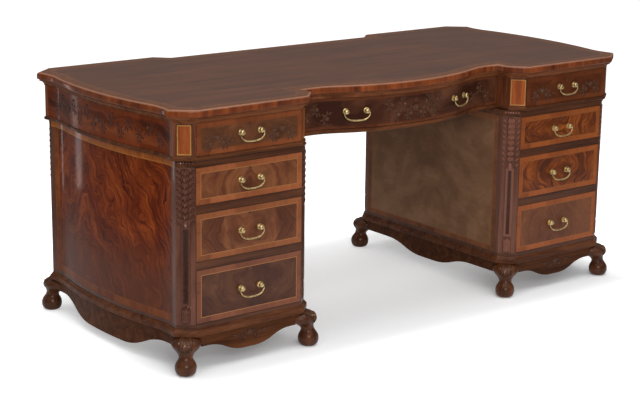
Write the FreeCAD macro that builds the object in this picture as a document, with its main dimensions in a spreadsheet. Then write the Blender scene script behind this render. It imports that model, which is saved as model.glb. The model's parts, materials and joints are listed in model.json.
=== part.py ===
"""A serpentine-ended pedestal desk: a top section with three frieze drawers on two drawer pedestals.

Axes: +X to the sitter's right, the drawers face -Y, +Z up. The origin is on the floor, under the middle of the top.
All sizes are in millimetres. Each piece is written to parts/NODE.step under its own Label.
"""
import FreeCAD, Part
import math
import os
from types import SimpleNamespace

import Sketcher

V = FreeCAD.Vector
doc = FreeCAD.newDocument("pedestal_desk")

# --------------------------------------------------------------------------- driving dimensions

DIMENSIONS = [
    # the top board, seen from above
    ("top_width", 1824, "between the two ends' canted corners"),
    ("top_depth", 838, "front to back over the pedestals"),
    ("top_thickness", 22, ""),
    ("top_upper_round", 7, "radius along the upper edge"),
    ("top_lower_round", 5, "radius along the lower edge"),
    ("end_bow", 22, "how far the middle of an end stands out past its corners"),
    ("end_dip", 9, "how far an end falls back beside its corners"),
    ("end_dip_distance", 305, "where an end is lowest, from its middle"),
    ("outer_cant_front", 68, "leg of the outer canted corner along the front"),
    ("outer_cant_end", 54, "leg of the outer canted corner along the end"),
    ("inner_cant", 50, "leg of the canted corners beside the kneehole"),
    ("recess_half_width", 404, "half the width of the kneehole recess in the top"),
    ("recess_depth", 97, "how far the front falls back beside the kneehole corners"),
    ("recess_bow", 76, "how far the bow comes forward again in the middle"),
    ("recess_bow_half_width", 360, "half the width of the bow with the coves beside it"),
    ("recess_cove_radius", 200, ""),
    ("back_recess_depth", 43, "how far the back falls back between the pedestals"),
    # the top section under the board
    ("top_moulding_height", 18, ""),
    ("top_moulding_width", 50, "how far the moulding reaches in under the board"),
    ("top_moulding_lip", 6, "from the board's edge to the moulding's upper edge"),
    ("top_moulding_fillet", 4, "height of each flat of the moulding"),
    ("top_moulding_foot", 2, "how far the moulding's lower edge stands out from the frieze"),
    ("frieze_inset", 20, "from the board's edge to the frieze"),
    ("frieze_height", 98, ""),
    ("frieze_block_depth", 54, "front to back size of the frieze's corner blocks"),
    ("base_board_height", 12, ""),
    ("waist_projection", 4, "how far the base board's moulded edge stands out from the frieze"),
    ("waist_round", 3, "height of the bevel above and below the waist moulding"),
    ("panel_thickness", 18, "walls of the carcases"),
    ("guide_height", 20, "strips that guide the drawer sides"),
    # the pedestals
    ("pedestal_inset", 29, "from the board's edge to the pedestals"),
    ("pedestal_inner_face", 410, "from the middle to a pedestal's kneehole side"),
    ("pedestal_inner_cant", 42, "leg of the pedestals' canted corners beside the kneehole"),
    ("pedestal_top_height", 20, ""),
    ("pedestal_bottom_height", 22, ""),
    ("corner_post_depth", 60, "front to back size of the corner posts"),
    ("upper_opening", 113, "height of the upper drawer's opening"),
    ("middle_opening", 144, ""),
    ("lower_opening", 164, ""),
    ("rail_height", 22, ""),
    ("runner_width", 40, ""),
    ("plinth_height", 22, ""),
    ("plinth_projection", 9, ""),
    ("plinth_drop", 12, "how far the plinth moulding hangs below the pedestal's bottom"),
    ("plinth_bevel", 9, "height of the plinth moulding's sloping upper part"),
    # aprons and legs
    ("leg_height", 123, "floor to the pedestal's bottom"),
    ("apron_thickness", 18, ""),
    ("front_apron_low", 43, "floor to the belly of a front apron"),
    ("side_apron_low", 31, ""),
    ("apron_high", 76, "floor to an apron's edge beside the legs"),
    ("front_belly_half_width", 20, "half the flat of the front aprons' belly"),
    ("front_rise_half_width", 150, "where the front aprons' curve runs out, from their middle"),
    ("inner_apron_low", 43, "floor to the belly of an apron beside the kneehole"),
    ("inner_belly_half_width", 35, ""),
    ("inner_rise_half_width", 215, ""),
    ("side_belly_half_width", 100, "half the flat of the side aprons' belly"),
    ("side_rise_half_width", 290, "where the side aprons' curve runs out, from their middle"),
    ("foot_radius", 30, ""),
    ("foot_bottom_radius", 24, ""),
    ("foot_middle_height", 11, "floor to the foot's widest place"),
    ("foot_reach", 19, "from the canted corner's face out to the foot's axis"),
    ("ankle_radius", 16, ""),
    ("ankle_height", 50, ""),
    ("knee_radius", 46, ""),
    ("knee_height", 80, "floor to the knee's widest place"),
    ("knee_set_back", 4, "from the canted corner's face in to the knee's axis"),
    ("knee_top_radius", 27, ""),
    ("knee_top_set_back", 18, "from the canted corner's face in to the axis of the knee's top"),
    ("leg_socket_gap", 0.5, "between a leg and the aprons that meet it"),
    ("leg_block_width", 44, "the square that carries the pedestal on each leg"),
    ("leg_block_overlap", 20, "how far the square runs down into the knee"),
    # drawers
    ("front_thickness", 20, ""),
    ("side_thickness", 9, ""),
    ("bottom_thickness", 6, ""),
    ("bottom_rise", 6, "from the drawer side's lower edge to the drawer's bottom board"),
    ("side_drop", 14, "how much lower the drawer sides are than the opening"),
    ("drawer_gap", 1, "round a drawer front in its opening"),
    ("slide_gap", 0.3, "under a drawer's sides"),
    ("seat_gap", 0.3, "between curved faces of pieces that are glued together"),
    ("pedestal_drawer_back_gap", 17, "from a closed drawer to the pedestal's back panel"),
    ("frieze_drawer_back_gap", 27, "from a closed drawer to the back ends of the frieze partitions"),
    # handles and locks
    ("handle_spacing", 68, "between the two posts of a handle"),
    ("pedestal_handle_rise", 2, "from an opening's middle up to the posts"),
    ("frieze_handle_rise", 6, ""),
    ("centre_handle_distance", 212, "from the middle to each handle of the wide drawer"),
    ("rosette_radius", 10, ""),
    ("rosette_thickness", 3, ""),
    ("rosette_bevel", 1.5, ""),
    ("rosette_seat", 1.6, "flat cut in a bowed front under each rosette"),
    ("rosette_seat_margin", 0.3, "round a rosette in its flat"),
    ("post_radius", 3.2, ""),
    ("pivot_reach", 12, "from a drawer's face out to the bail's axis"),
    ("eye_radius", 4.2, ""),
    ("eye_length", 4.4, ""),
    ("bail_radius", 2.2, ""),
    ("pin_clearance", 0.05, "round the bail's pins in the eyes, on the radius"),
    ("pin_end", 1.5, "how far a pin shows past the inner side of its eye"),
    ("eye_side_gap", 0.5, "from an eye to the bail's elbow"),
    ("bail_elbow_radius", 2.6, ""),
    ("bail_drop", 31, "from the axis down to the middle of the grip"),
    ("bail_corner_radius", 15, ""),
    ("bolt_radius", 2.5, ""),
    ("bolt_clearance", 0.2, ""),
    ("bolt_end", 6, "how far a bolt runs past the drawer front's back"),
    ("nut_radius", 6, ""),
    ("nut_height", 4, ""),
    ("keyhole_drop", 24, "from the top of an opening down to the keyhole"),
    ("keyhole_radius", 2.2, ""),
    ("escutcheon_radius", 5, ""),
    ("escutcheon_height", 1, ""),
    ("lock_width", 50, ""),
    ("lock_height", 34, ""),
    ("lock_thickness", 8, ""),
    ("lock_rise", 10, "from the keyhole up to the lock's upper edge"),
    ("lock_seat", 0.6, "room behind the bowed front for the flat lock"),
]


class Size:
    """A number of the sheet, or a formula of such numbers: its value in mm, and its text for setExpression."""

    def __init__(self, value, text):
        self.value = value
        self.text = text

    def join(self, other, sign, value, turned=False):
        other_text = other.text if isinstance(other, Size) else repr(float(other))
        first, second = (other_text, self.text) if turned else (self.text, other_text)
        return Size(value, f"({first} {sign} {second})")

    def __float__(self):
        return float(self.value)

    def __add__(self, other):
        return self.join(other, "+", self.value + float(other))

    def __radd__(self, other):
        return self.join(other, "+", float(other) + self.value, True)

    def __sub__(self, other):
        return self.join(other, "-", self.value - float(other))

    def __rsub__(self, other):
        return self.join(other, "-", float(other) - self.value, True)

    def __mul__(self, other):
        return self.join(other, "*", self.value * float(other))

    def __rmul__(self, other):
        return self.join(other, "*", float(other) * self.value, True)

    def __truediv__(self, other):
        return self.join(other, "/", self.value / float(other))

    def __neg__(self):
        return Size(-self.value, f"(-1 * {self.text})")


def root(size):
    return Size(math.sqrt(size.value), f"sqrt({size.text})")


def arc_sine(size):
    """Angle in degrees whose sine is the given ratio."""
    return Size(math.degrees(math.asin(size.value)), f"asin({size.text})")


sheet = doc.addObject("Spreadsheet::Sheet", "Sizes")
for row, (alias, number, meaning) in enumerate(DIMENSIONS, start=1):
    sheet.set(f"A{row}", alias)
    sheet.set(f"B{row}", str(number))
    sheet.set(f"C{row}", meaning)
    sheet.setAlias(f"B{row}", alias)
doc.recompute()
s = SimpleNamespace(**{alias: Size(float(sheet.get(alias)), f"Sizes.{alias}") for alias, _, _ in DIMENSIONS})
v = SimpleNamespace(**{alias: size.value for alias, size in vars(s).items()})

# --------------------------------------------------------------------------- levels and faces

# from the floor up
z_carcase = s.leg_height
z_lower = z_carcase + s.pedestal_bottom_height
z_middle = z_lower + s.lower_opening + s.rail_height
z_upper = z_middle + s.middle_opening + s.rail_height
z_pedestal_top = z_upper + s.upper_opening
z_base_board = z_pedestal_top + s.pedestal_top_height
z_frieze = z_base_board + s.base_board_height
z_moulding = z_frieze + s.frieze_height
z_board = z_moulding + s.top_moulding_height

half_width = s.top_width / 2
half_depth = s.top_depth / 2
frieze_face = half_depth - s.frieze_inset          # y of the frieze's back; its front is at minus this
pedestal_face = half_depth - s.pedestal_inset
recess_face = frieze_face - s.recess_depth         # the frieze beside the kneehole corners
back_recess_face = frieze_face - s.back_recess_depth
kneehole_side = s.recess_half_width + s.frieze_inset

cant_run = root(s.outer_cant_front * s.outer_cant_front + s.outer_cant_end * s.outer_cant_end)
cant_shift = (cant_run - s.outer_cant_front) / s.outer_cant_end
cant_diagonal_shift = root(s.inner_cant * s.inner_cant * 2) / s.inner_cant - 1
frieze_outer_stop = half_width - s.outer_cant_front - s.frieze_inset * cant_shift
pedestal_outer_stop = half_width - s.outer_cant_front - s.pedestal_inset * cant_shift
frieze_inner_stop = s.recess_half_width + s.inner_cant + s.frieze_inset * cant_diagonal_shift
pedestal_inner_stop = s.pedestal_inner_face + s.pedestal_inner_cant
end_dip_x = half_width - s.end_dip                 # the top board's end where it falls back most
end_wall_inside = end_dip_x - s.pedestal_inset - s.panel_thickness
frieze_wall_inside = end_dip_x - s.frieze_inset - s.panel_thickness

# --------------------------------------------------------------------------- the plan of the desk


def edge_line(start, end):
    """A side that is walked anticlockwise: its outward normal, and its distance from the origin along it."""
    run, rise = end[0] - start[0], end[1] - start[1]
    length = math.hypot(run, rise)
    normal = (rise / length, -run / length)
    return normal[0], normal[1], normal[0] * start[0] + normal[1] * start[1]


def corner(first, second, inset):
    """Where two sides meet after both have moved inwards."""
    reach_1, reach_2 = first[2] - inset, second[2] - inset
    cross = first[0] * second[1] - second[0] * first[1]
    return ((reach_1 * second[1] - reach_2 * first[1]) / cross,
            (first[0] * reach_2 - second[0] * reach_1) / cross)


def corner_on_arc(line, centre, radius, inset, near):
    """Where a side that has moved inwards meets a circle, on the side of a known point."""
    offset = line[0] * centre[0] + line[1] * centre[1] - (line[2] - inset)
    foot = (centre[0] - line[0] * offset, centre[1] - line[1] * offset)
    half_chord = math.sqrt(radius * radius - offset * offset)
    ends = [(foot[0] - line[1] * step, foot[1] + line[0] * step) for step in (half_chord, -half_chord)]
    return min(ends, key=lambda end: math.dist(end, near))


def towards(start, end, distance):
    length = math.dist(start, end)
    return tuple(a + (b - a) * distance / length for a, b in zip(start, end))


def arc(centre, radius, start, end):
    """An arc under half a turn, as its start, its middle and its end."""
    middle = towards(centre, ((start[0] + end[0]) / 2, (start[1] + end[1]) / 2), radius)
    return ("arc", start, middle, end)


def other_radius(run, rise, radius):
    """The second radius of an ogee that leaves and arrives level, over a run and a rise."""
    return (run * run + rise * rise) / (2 * rise) - radius


def flipped(points, sign_x, sign_y):
    return tuple((x * sign_x, y * sign_y) for x, y in points)


def turned_back(segments, sign_x, sign_y):
    """The mirror image of a run of segments, walked so that it still goes round the same way."""
    return [(kind, *reversed(flipped(points, sign_x, sign_y))) for kind, *points in reversed(segments)]


W, D = v.top_width / 2, v.top_depth / 2
FRONT = edge_line((0, -D), (W, -D))
OUTER_CANT = edge_line((W - v.outer_cant_front, -D), (W, v.outer_cant_end - D))


def end_run(inset):
    """The right-hand end from its front canted corner to its back one: cant, dip, bow, dip, cant."""
    end_corner = (W, v.outer_cant_end - D)
    dip_run = D - v.outer_cant_end - v.end_dip_distance
    dip_radius = (dip_run ** 2 + v.end_dip ** 2) / (2 * v.end_dip)
    dip_centre = (W - v.end_dip + dip_radius, -v.end_dip_distance)
    bow_radius = other_radius(v.end_dip_distance, v.end_bow + v.end_dip, dip_radius)
    bow_centre = (W + v.end_bow - bow_radius, 0)
    start = corner(FRONT, OUTER_CANT, inset)
    dip_start = corner_on_arc(OUTER_CANT, dip_centre, dip_radius + inset, inset, end_corner)
    dip_end = towards(bow_centre, dip_centre, bow_radius - inset)
    front_half = [("line", start, dip_start), arc(dip_centre, dip_radius + inset, dip_start, dip_end)]
    bow = ("arc", dip_end, (W + v.end_bow - inset, 0), (dip_end[0], -dip_end[1]))
    return front_half + [bow] + turned_back(front_half, 1, -1)


def top_outline(inset):
    """The whole top, moved inwards: a bowed recess in front of the kneehole, a straight one behind it."""
    recess_y = v.recess_depth - D
    recess = edge_line((0, recess_y), (v.recess_half_width, recess_y))
    inner_corner = (v.recess_half_width, v.inner_cant - D)
    recess_return = edge_line((v.recess_half_width, recess_y), inner_corner)
    inner_cant = edge_line(inner_corner, (v.recess_half_width + v.inner_cant, -D))
    back_recess = edge_line((0, D - v.back_recess_depth), (-1, D - v.back_recess_depth))
    back_cant = (inner_cant[0], -inner_cant[1], inner_cant[2])
    bow_radius = other_radius(v.recess_bow_half_width, v.recess_bow, v.recess_cove_radius)
    bow_centre = (0, recess_y - v.recess_bow + bow_radius)
    cove_centre = (v.recess_bow_half_width, recess_y - v.recess_cove_radius)
    cove_start = towards(bow_centre, cove_centre, bow_radius - inset)
    cove_end = (v.recess_bow_half_width, recess_y + inset)
    corners = [cove_end,
               corner(recess, recess_return, inset),
               corner(recess_return, inner_cant, inset),
               corner(inner_cant, FRONT, inset),
               corner(FRONT, OUTER_CANT, inset)]
    right = [arc(cove_centre, v.recess_cove_radius + inset, cove_start, cove_end)]
    right += [("line", a, b) for a, b in zip(corners, corners[1:])]
    right += end_run(inset)
    back_corners = [(corners[-1][0], -corners[-1][1]), (corners[-2][0], -corners[-2][1]),
                    corner(back_cant, back_recess, inset)]
    right += [("line", a, b) for a, b in zip(back_corners, back_corners[1:])]
    back = ("line", back_corners[-1], (-back_corners[-1][0], back_corners[-1][1]))
    bow = ("arc", (-cove_start[0], cove_start[1]), (0, recess_y - v.recess_bow + inset), cove_start)
    return right + [back] + turned_back(right, -1, 1) + [bow]


def pedestal_outline(inset):
    """The right-hand pedestal, moved inwards: its outer end follows the top's."""
    face = v.pedestal_inset - D
    inner_side = edge_line((v.pedestal_inner_face, 0), (v.pedestal_inner_face, -1))
    side_corner = (v.pedestal_inner_face, face + v.pedestal_inner_cant)
    inner_cant = edge_line(side_corner, (v.pedestal_inner_face + v.pedestal_inner_cant, face))
    total_inset = v.pedestal_inset + inset
    corners = [corner(inner_side, inner_cant, inset),
               corner(inner_cant, (FRONT[0], FRONT[1], FRONT[2] - v.pedestal_inset), inset),
               corner(FRONT, OUTER_CANT, total_inset)]
    front = [("line", a, b) for a, b in zip(corners, corners[1:])]
    side = ("line", (corners[0][0], -corners[0][1]), corners[0])
    return front + end_run(total_inset) + turned_back(front, 1, -1) + [side]


# --------------------------------------------------------------------------- solids from the plan


def wire(segments, place):
    """A closed wire; place turns a pair of plane coordinates into a point."""
    edges = []
    for kind, *points in segments:
        ends = [place(*point) for point in points]
        edges.append(Part.LineSegment(*ends).toShape() if kind == "line" else Part.Arc(*ends).toShape())
    return Part.Wire(edges)


def level(z):
    return lambda x, y: V(x, y, float(z))


def prism(segments, z_low, z_high):
    return Part.Face(wire(segments, level(z_low))).extrude(V(0, 0, float(z_high) - float(z_low)))


def moulded(outline, steps):
    """A solid whose side runs through the given (inset, z) steps."""
    return Part.makeLoft([wire(outline(inset), level(z)) for inset, z in steps], True, True)


def block(x, y, z):
    """A plain block from pairs of low and high coordinates."""
    low = V(*[float(pair[0]) for pair in (x, y, z)])
    size = [float(pair[1]) - float(pair[0]) for pair in (x, y, z)]
    return Part.makeBox(*size, low)


def mirrored(shape):
    return shape.mirror(V(0, 0, 0), V(1, 0, 0))


def one_solid(shape):
    """The single solid of a boolean result, so that nothing stray is kept."""
    if len(shape.Solids) != 1:
        raise ValueError(f"expected one solid, found {len(shape.Solids)}")
    return shape.Solids[0]


FAR = 2000                                          # larger than the desk, for blocks that only select a region
nodes = []


def keep(part, label):
    """Mark a finished sub-part for export under its own name."""
    part.Label = label
    nodes.append(part)
    return part


def shaped(label, shape):
    """A sub-part whose shape comes from the curved plan."""
    part = doc.addObject("Part::Feature", label)
    part.Shape = shape
    return keep(part, label)


# --------------------------------------------------------------------------- sub-parts bound to the sheet


def bind(part, name, size):
    if isinstance(size, Size):
        part.setExpression(name, size.text)
    else:
        setattr(part, name, size)


def move(part, x, y, z, angle=None):
    for axis, size in zip("xyz", (x, y, z)):
        if isinstance(size, Size):
            part.setExpression(f"Placement.Base.{axis}", size.text)
    if angle is not None:
        part.Placement.Rotation.Axis = V(0, 0, 1)
        part.setExpression("Placement.Rotation.Angle", angle.text)


def board(label, x, y, z):
    """A flat board from pairs of low and high coordinates."""
    part = doc.addObject("Part::Box", label)
    for name, pair in zip(("Length", "Width", "Height"), (x, y, z)):
        bind(part, name, pair[1] - pair[0])
    move(part, x[0], y[0], z[0])
    return part


def mirror_image(part, label):
    image = doc.addObject("Part::Mirroring", label)
    image.Source = part
    image.Normal = (1, 0, 0)
    image.Base = (0, 0, 0)
    return image


def group(label, parts):
    """Several like pieces that share one name."""
    compound = doc.addObject("Part::Compound", label)
    compound.Links = parts
    return keep(compound, label)


def both_sides(label_right, label_left, part):
    keep(part, label_right)
    keep(mirror_image(part, label_left), label_left)


def origin_plane(body, role):
    return next(feature for feature in body.Origin.OriginFeatures if feature.Role == role)


def sketch(body, role, name, polygons=(), circles=()):
    """A fully constrained sketch of closed polygons and circles, whose coordinates are Sizes."""
    drawing = body.newObject("Sketcher::SketchObject", name)
    drawing.AttachmentSupport = [(origin_plane(body, role), "")]
    drawing.MapMode = "FlatFace"

    def pin(geometry, point, place):
        for kind, size in zip(("DistanceX", "DistanceY"), place):
            datum = drawing.addConstraint(Sketcher.Constraint(kind, -1, 1, geometry, point, float(size)))
            if isinstance(size, Size):
                drawing.setExpression(f"Constraints[{datum}]", size.text)

    for points in polygons:
        ends = [V(float(x), float(y), 0) for x, y in points]
        sides = [drawing.addGeometry(Part.LineSegment(a, b)) for a, b in zip(ends, ends[1:] + ends[:1])]
        for side, following in zip(sides, sides[1:] + sides[:1]):
            drawing.addConstraint(Sketcher.Constraint("Coincident", side, 2, following, 1))
        for side, place in zip(sides, points):
            pin(side, 1, place)
    for x, y, radius in circles:
        ring = drawing.addGeometry(Part.Circle(V(float(x), float(y), 0), V(0, 0, 1), float(radius)))
        datum = drawing.addConstraint(Sketcher.Constraint("Radius", ring, float(radius)))
        drawing.setExpression(f"Constraints[{datum}]", radius.text)
        pin(ring, 3, (x, y))
    return drawing


def padded_body(label, role, length, polygons=(), circles=(), symmetric=False):
    body = doc.addObject("PartDesign::Body", label)
    drawing = sketch(body, role, f"{label}_outline", polygons, circles)
    pad = body.newObject("PartDesign::Pad", f"{label}_pad")
    pad.Profile = drawing
    pad.Midplane = symmetric
    bind(pad, "Length", length)
    return body


# --------------------------------------------------------------------------- top section

board_solid = prism(top_outline(0), z_board, z_board + s.top_thickness)


def level_edges(solid, z):
    return [edge for edge in solid.Edges if all(abs(vertex.Z - float(z)) < 1e-6 for vertex in edge.Vertexes)]


board_solid = board_solid.makeFillet(v.top_upper_round, level_edges(board_solid, z_board + s.top_thickness))
board_solid = board_solid.makeFillet(v.top_lower_round, level_edges(board_solid, z_board))
shaped("top_board", one_solid(board_solid))

moulding_foot = v.frieze_inset - v.top_moulding_foot
moulding_solid = moulded(top_outline, [
    (moulding_foot, z_moulding),
    (moulding_foot, z_moulding + s.top_moulding_fillet),
    (moulding_foot / 2 + v.top_moulding_lip / 2 + v.top_moulding_foot, z_moulding + s.top_moulding_height * 0.55),
    (v.top_moulding_lip, z_board - s.top_moulding_fillet),
    (v.top_moulding_lip, z_board)])
moulding_hole = prism(top_outline(v.top_moulding_width), z_moulding - 1, z_board + 1)
shaped("top_moulding", one_solid(moulding_solid.cut(moulding_hole)))

frieze_region = prism(top_outline(v.frieze_inset), z_frieze, z_moulding)
frieze_heights = (z_frieze, z_moulding)
block_inside = frieze_face - s.frieze_block_depth
corner_blocks = []
for x_range in ((kneehole_side, frieze_inner_stop), (frieze_outer_stop, FAR)):
    for y_range in ((-FAR, -block_inside), (block_inside, FAR)):
        corner_block = one_solid(frieze_region.common(block(x_range, y_range, frieze_heights)))
        corner_blocks += [corner_block, mirrored(corner_block)]
shaped("frieze_corner_blocks", Part.makeCompound(corner_blocks))

frieze_shell = frieze_region.cut(prism(top_outline(v.frieze_inset + v.panel_thickness), z_frieze, z_moulding))
frieze_end = one_solid(frieze_shell.common(
    block((frieze_outer_stop, FAR), (-block_inside, block_inside), frieze_heights)))
shaped("frieze_end_right", frieze_end)
shaped("frieze_end_left", mirrored(frieze_end))

back_centre = one_solid(frieze_shell.common(
    block((-kneehole_side, kneehole_side), (back_recess_face - s.panel_thickness, FAR), frieze_heights)))
back_side = block((frieze_inner_stop, frieze_outer_stop), (frieze_face - s.panel_thickness, frieze_face),
                  frieze_heights)
shaped("frieze_back_boards", Part.makeCompound([back_centre, back_side, mirrored(back_side)]))

waist_steps = [(v.frieze_inset, z_base_board),
               (v.frieze_inset - v.waist_projection, z_base_board + s.waist_round),
               (v.frieze_inset - v.waist_projection, z_frieze - s.waist_round),
               (v.frieze_inset, z_frieze)]
shaped("frieze_base_board", moulded(top_outline, waist_steps))

partition_back = back_recess_face - s.panel_thickness
partition = board("partition_right", (kneehole_side, kneehole_side + s.panel_thickness),
                  (-block_inside, partition_back), frieze_heights)
group("frieze_partitions", [partition, mirror_image(partition, "partition_left")])

guide_heights = (z_frieze, z_frieze + s.guide_height)
inner_guide = board("frieze_inner_guide", (kneehole_side + s.panel_thickness, frieze_inner_stop),
                    (-block_inside, partition_back), guide_heights)
outer_guide = board("frieze_outer_guide", (frieze_outer_stop, frieze_wall_inside - s.seat_gap),
                    (-block_inside, block_inside), guide_heights)
frieze_guides = [inner_guide, outer_guide]
frieze_guides += [mirror_image(guide, f"{guide.Label}_left") for guide in frieze_guides]
group("frieze_drawer_guides", frieze_guides)

# --------------------------------------------------------------------------- pedestals

pedestal_heights = (z_lower, z_pedestal_top)
pedestal_region = prism(pedestal_outline(0), *pedestal_heights)
post_inside = pedestal_face - s.corner_post_depth
corner_posts = []
for x_range in ((s.pedestal_inner_face, pedestal_inner_stop), (pedestal_outer_stop, FAR)):
    for y_range in ((-FAR, -post_inside), (post_inside, FAR)):
        corner_post = one_solid(pedestal_region.common(block(x_range, y_range, pedestal_heights)))
        corner_posts += [corner_post, mirrored(corner_post)]
shaped("corner_posts", Part.makeCompound(corner_posts))

pedestal_shell = pedestal_region.cut(prism(pedestal_outline(v.panel_thickness), *pedestal_heights))
end_panel = one_solid(pedestal_shell.common(
    block((pedestal_outer_stop, FAR), (-post_inside, post_inside), pedestal_heights)))
shaped("right_end_panel", end_panel)
shaped("left_end_panel", mirrored(end_panel))

pedestal_top = prism(pedestal_outline(0), z_pedestal_top, z_base_board)
shaped("pedestal_tops", Part.makeCompound([pedestal_top, mirrored(pedestal_top)]))
pedestal_bottom = prism(pedestal_outline(0), z_carcase, z_lower)
shaped("pedestal_bottoms", Part.makeCompound([pedestal_bottom, mirrored(pedestal_bottom)]))

inner_wall_inside = s.pedestal_inner_face + s.panel_thickness
both_sides("right_inner_panel", "left_inner_panel", board(
    "right_inner_panel", (s.pedestal_inner_face, inner_wall_inside),
    (-post_inside, post_inside), pedestal_heights))
both_sides("right_back_panel", "left_back_panel", board(
    "right_back_panel", (pedestal_inner_stop, pedestal_outer_stop),
    (pedestal_face - s.panel_thickness, pedestal_face), pedestal_heights))


def runner(label, wall, stop, inwards, z_drawer, ledge):
    """A strip along the wall that guides a drawer's side, with a ledge under the drawer where ledge is true."""
    z_guide = z_drawer + s.guide_height
    points = [(wall, z_drawer), (wall, z_guide), (stop, z_guide), (stop, z_drawer)]
    if ledge:
        tip = wall + s.runner_width * inwards
        z_ledge = z_drawer - s.rail_height
        points = [(wall, z_ledge), (wall, z_guide), (stop, z_guide), (stop, z_drawer),
                  (tip, z_drawer), (tip, z_ledge)]
    body = padded_body(label, "XZ_Plane", post_inside * 2, polygons=[points])
    move(body, 0, post_inside, 0)
    return body


carcase_strips = []
drawer_rows = (("lower", z_lower, s.lower_opening), ("middle", z_middle, s.middle_opening),
               ("upper", z_upper, s.upper_opening))
for name, z_drawer, _ in drawer_rows:
    on_rail = name != "lower"
    if on_rail:
        carcase_strips.append(board(f"{name}_rail", (pedestal_inner_stop, pedestal_outer_stop),
                                    (-pedestal_face, -post_inside), (z_drawer - s.rail_height, z_drawer)))
    carcase_strips.append(runner(f"{name}_inner_runner", inner_wall_inside, pedestal_inner_stop, 1,
                                 z_drawer, on_rail))
    carcase_strips.append(runner(f"{name}_outer_runner", end_wall_inside - s.seat_gap, pedestal_outer_stop, -1,
                                 z_drawer, on_rail))
group("right_rails_and_runners", carcase_strips)
group("left_rails_and_runners", [mirror_image(strip, f"{strip.Label}_left") for strip in carcase_strips])

z_plinth = z_carcase - s.plinth_drop
plinth_solid = moulded(pedestal_outline, [
    (-v.plinth_projection, z_plinth),
    (-v.plinth_projection, z_plinth + s.plinth_height - s.plinth_bevel),
    (-v.plinth_projection * 0.35 - v.seat_gap, z_plinth + s.plinth_height - s.plinth_bevel / 3),
    (-v.plinth_projection * 0.2 - v.seat_gap, z_plinth + s.plinth_height)])
plinth_hole = prism(pedestal_outline(-v.seat_gap), z_plinth - 1, z_plinth + s.plinth_height + 1)
plinth_moulding = one_solid(plinth_solid.cut(plinth_hole))
shaped("plinth_mouldings", Part.makeCompound([plinth_moulding, mirrored(plinth_moulding)]))

# --------------------------------------------------------------------------- legs and aprons


def leg_sections():
    """The leg from the floor up: height, reach of its axis out from the canted face, and radius."""
    z_knee_top = float(z_plinth) - v.seat_gap
    foot = [(0, v.foot_reach, v.foot_bottom_radius),
            (v.foot_middle_height * 0.4, v.foot_reach, v.foot_radius * 0.95),
            (v.foot_middle_height, v.foot_reach, v.foot_radius)]
    for share, width in ((0.31, 0.82), (0.59, 0.46), (0.82, 0.11)):
        z = v.foot_middle_height + (v.ankle_height - v.foot_middle_height) * share
        foot.append((z, v.foot_reach, v.ankle_radius + (v.foot_radius - v.ankle_radius) * width))
    under_knee = [(v.ankle_height, v.foot_reach * 0.85, v.ankle_radius)]
    for share, width in ((0.23, 0.13), (0.5, 0.5), (0.73, 0.87), (1, 1)):
        reach = v.foot_reach * 0.85 - (v.foot_reach * 0.85 + v.knee_set_back) * share
        z = v.ankle_height + (v.knee_height - v.ankle_height) * share
        under_knee.append((z, reach, v.ankle_radius + (v.knee_radius - v.ankle_radius) * width))
    over_knee = []
    for share, width in ((0.25, 0.05), (0.5, 0.25), (0.75, 0.58), (1, 1)):
        reach = -v.knee_set_back - (v.knee_top_set_back - v.knee_set_back) * width
        z = v.knee_height + (z_knee_top - v.knee_height) * share
        over_knee.append((z, reach, v.knee_radius - (v.knee_radius - v.knee_top_radius) * width))
    return foot + under_knee + over_knee


def leg(margin=0):
    """A leg at the origin, reaching out along +X, with the square that carries the pedestal."""
    rings = [Part.Wire(Part.Circle(V(reach, 0, z), V(0, 0, 1), radius + margin).toShape())
             for z, reach, radius in leg_sections()]
    turned = Part.makeLoft(rings, True, True)
    square = block((-v.leg_block_width - v.seat_gap - margin, -v.seat_gap + margin),
                   (-v.leg_block_width / 2 - margin, v.leg_block_width / 2 + margin),
                   (z_plinth - s.leg_block_overlap, z_carcase))
    return one_solid(turned.fuse(square))


def canted_corners():
    """Middle and outward direction of the right-hand pedestal's four canted faces."""
    front = pedestal_outline(0)
    faces = [front[0], front[2]]
    for _, start, end in faces:
        run, rise = end[0] - start[0], end[1] - start[1]
        angle = math.degrees(math.atan2(-run, rise))
        middle = ((start[0] + end[0]) / 2, (start[1] + end[1]) / 2)
        yield middle, angle
        yield (middle[0], -middle[1]), -angle


def at_corner(shape, middle, angle):
    placed = shape.copy()
    placed.rotate(V(0, 0, 0), V(0, 0, 1), angle)
    placed.translate(V(middle[0], middle[1], 0))
    return placed


def belly(middle, lowest, belly_half, rise_half, half_span):
    """The face an apron is cut to: a flat belly that sweeps up to both legs in an ogee."""
    rise = v.apron_high - lowest
    radius = other_radius(rise_half - belly_half, rise, 0) / 2
    turn = ((rise_half + belly_half) / 2, (lowest + v.apron_high) / 2)
    low = (belly_half, lowest)
    high = (rise_half, v.apron_high)
    corner_low, corner_top = (half_span, v.apron_high), (half_span, float(z_carcase))
    right = [arc((low[0], low[1] + radius), radius, low, turn),
             arc((high[0], high[1] - radius), radius, turn, high),
             ("line", high, corner_low),
             ("line", corner_low, corner_top)]
    across = [("line", corner_top, (-half_span, corner_top[1]))]
    flat = [("line", (-belly_half, lowest), low)]
    segments = right + across + turned_back_level(right) + flat
    return [(kind, *[(middle + u, z) for u, z in points]) for kind, *points in segments]


def turned_back_level(segments):
    return [(kind, *reversed([(-u, z) for u, z in points])) for kind, *points in reversed(segments)]


pedestal_legs = [at_corner(leg(), middle, angle) for middle, angle in canted_corners()]
shaped("feet", Part.makeCompound(pedestal_legs + [mirrored(solid) for solid in pedestal_legs]))

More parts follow.
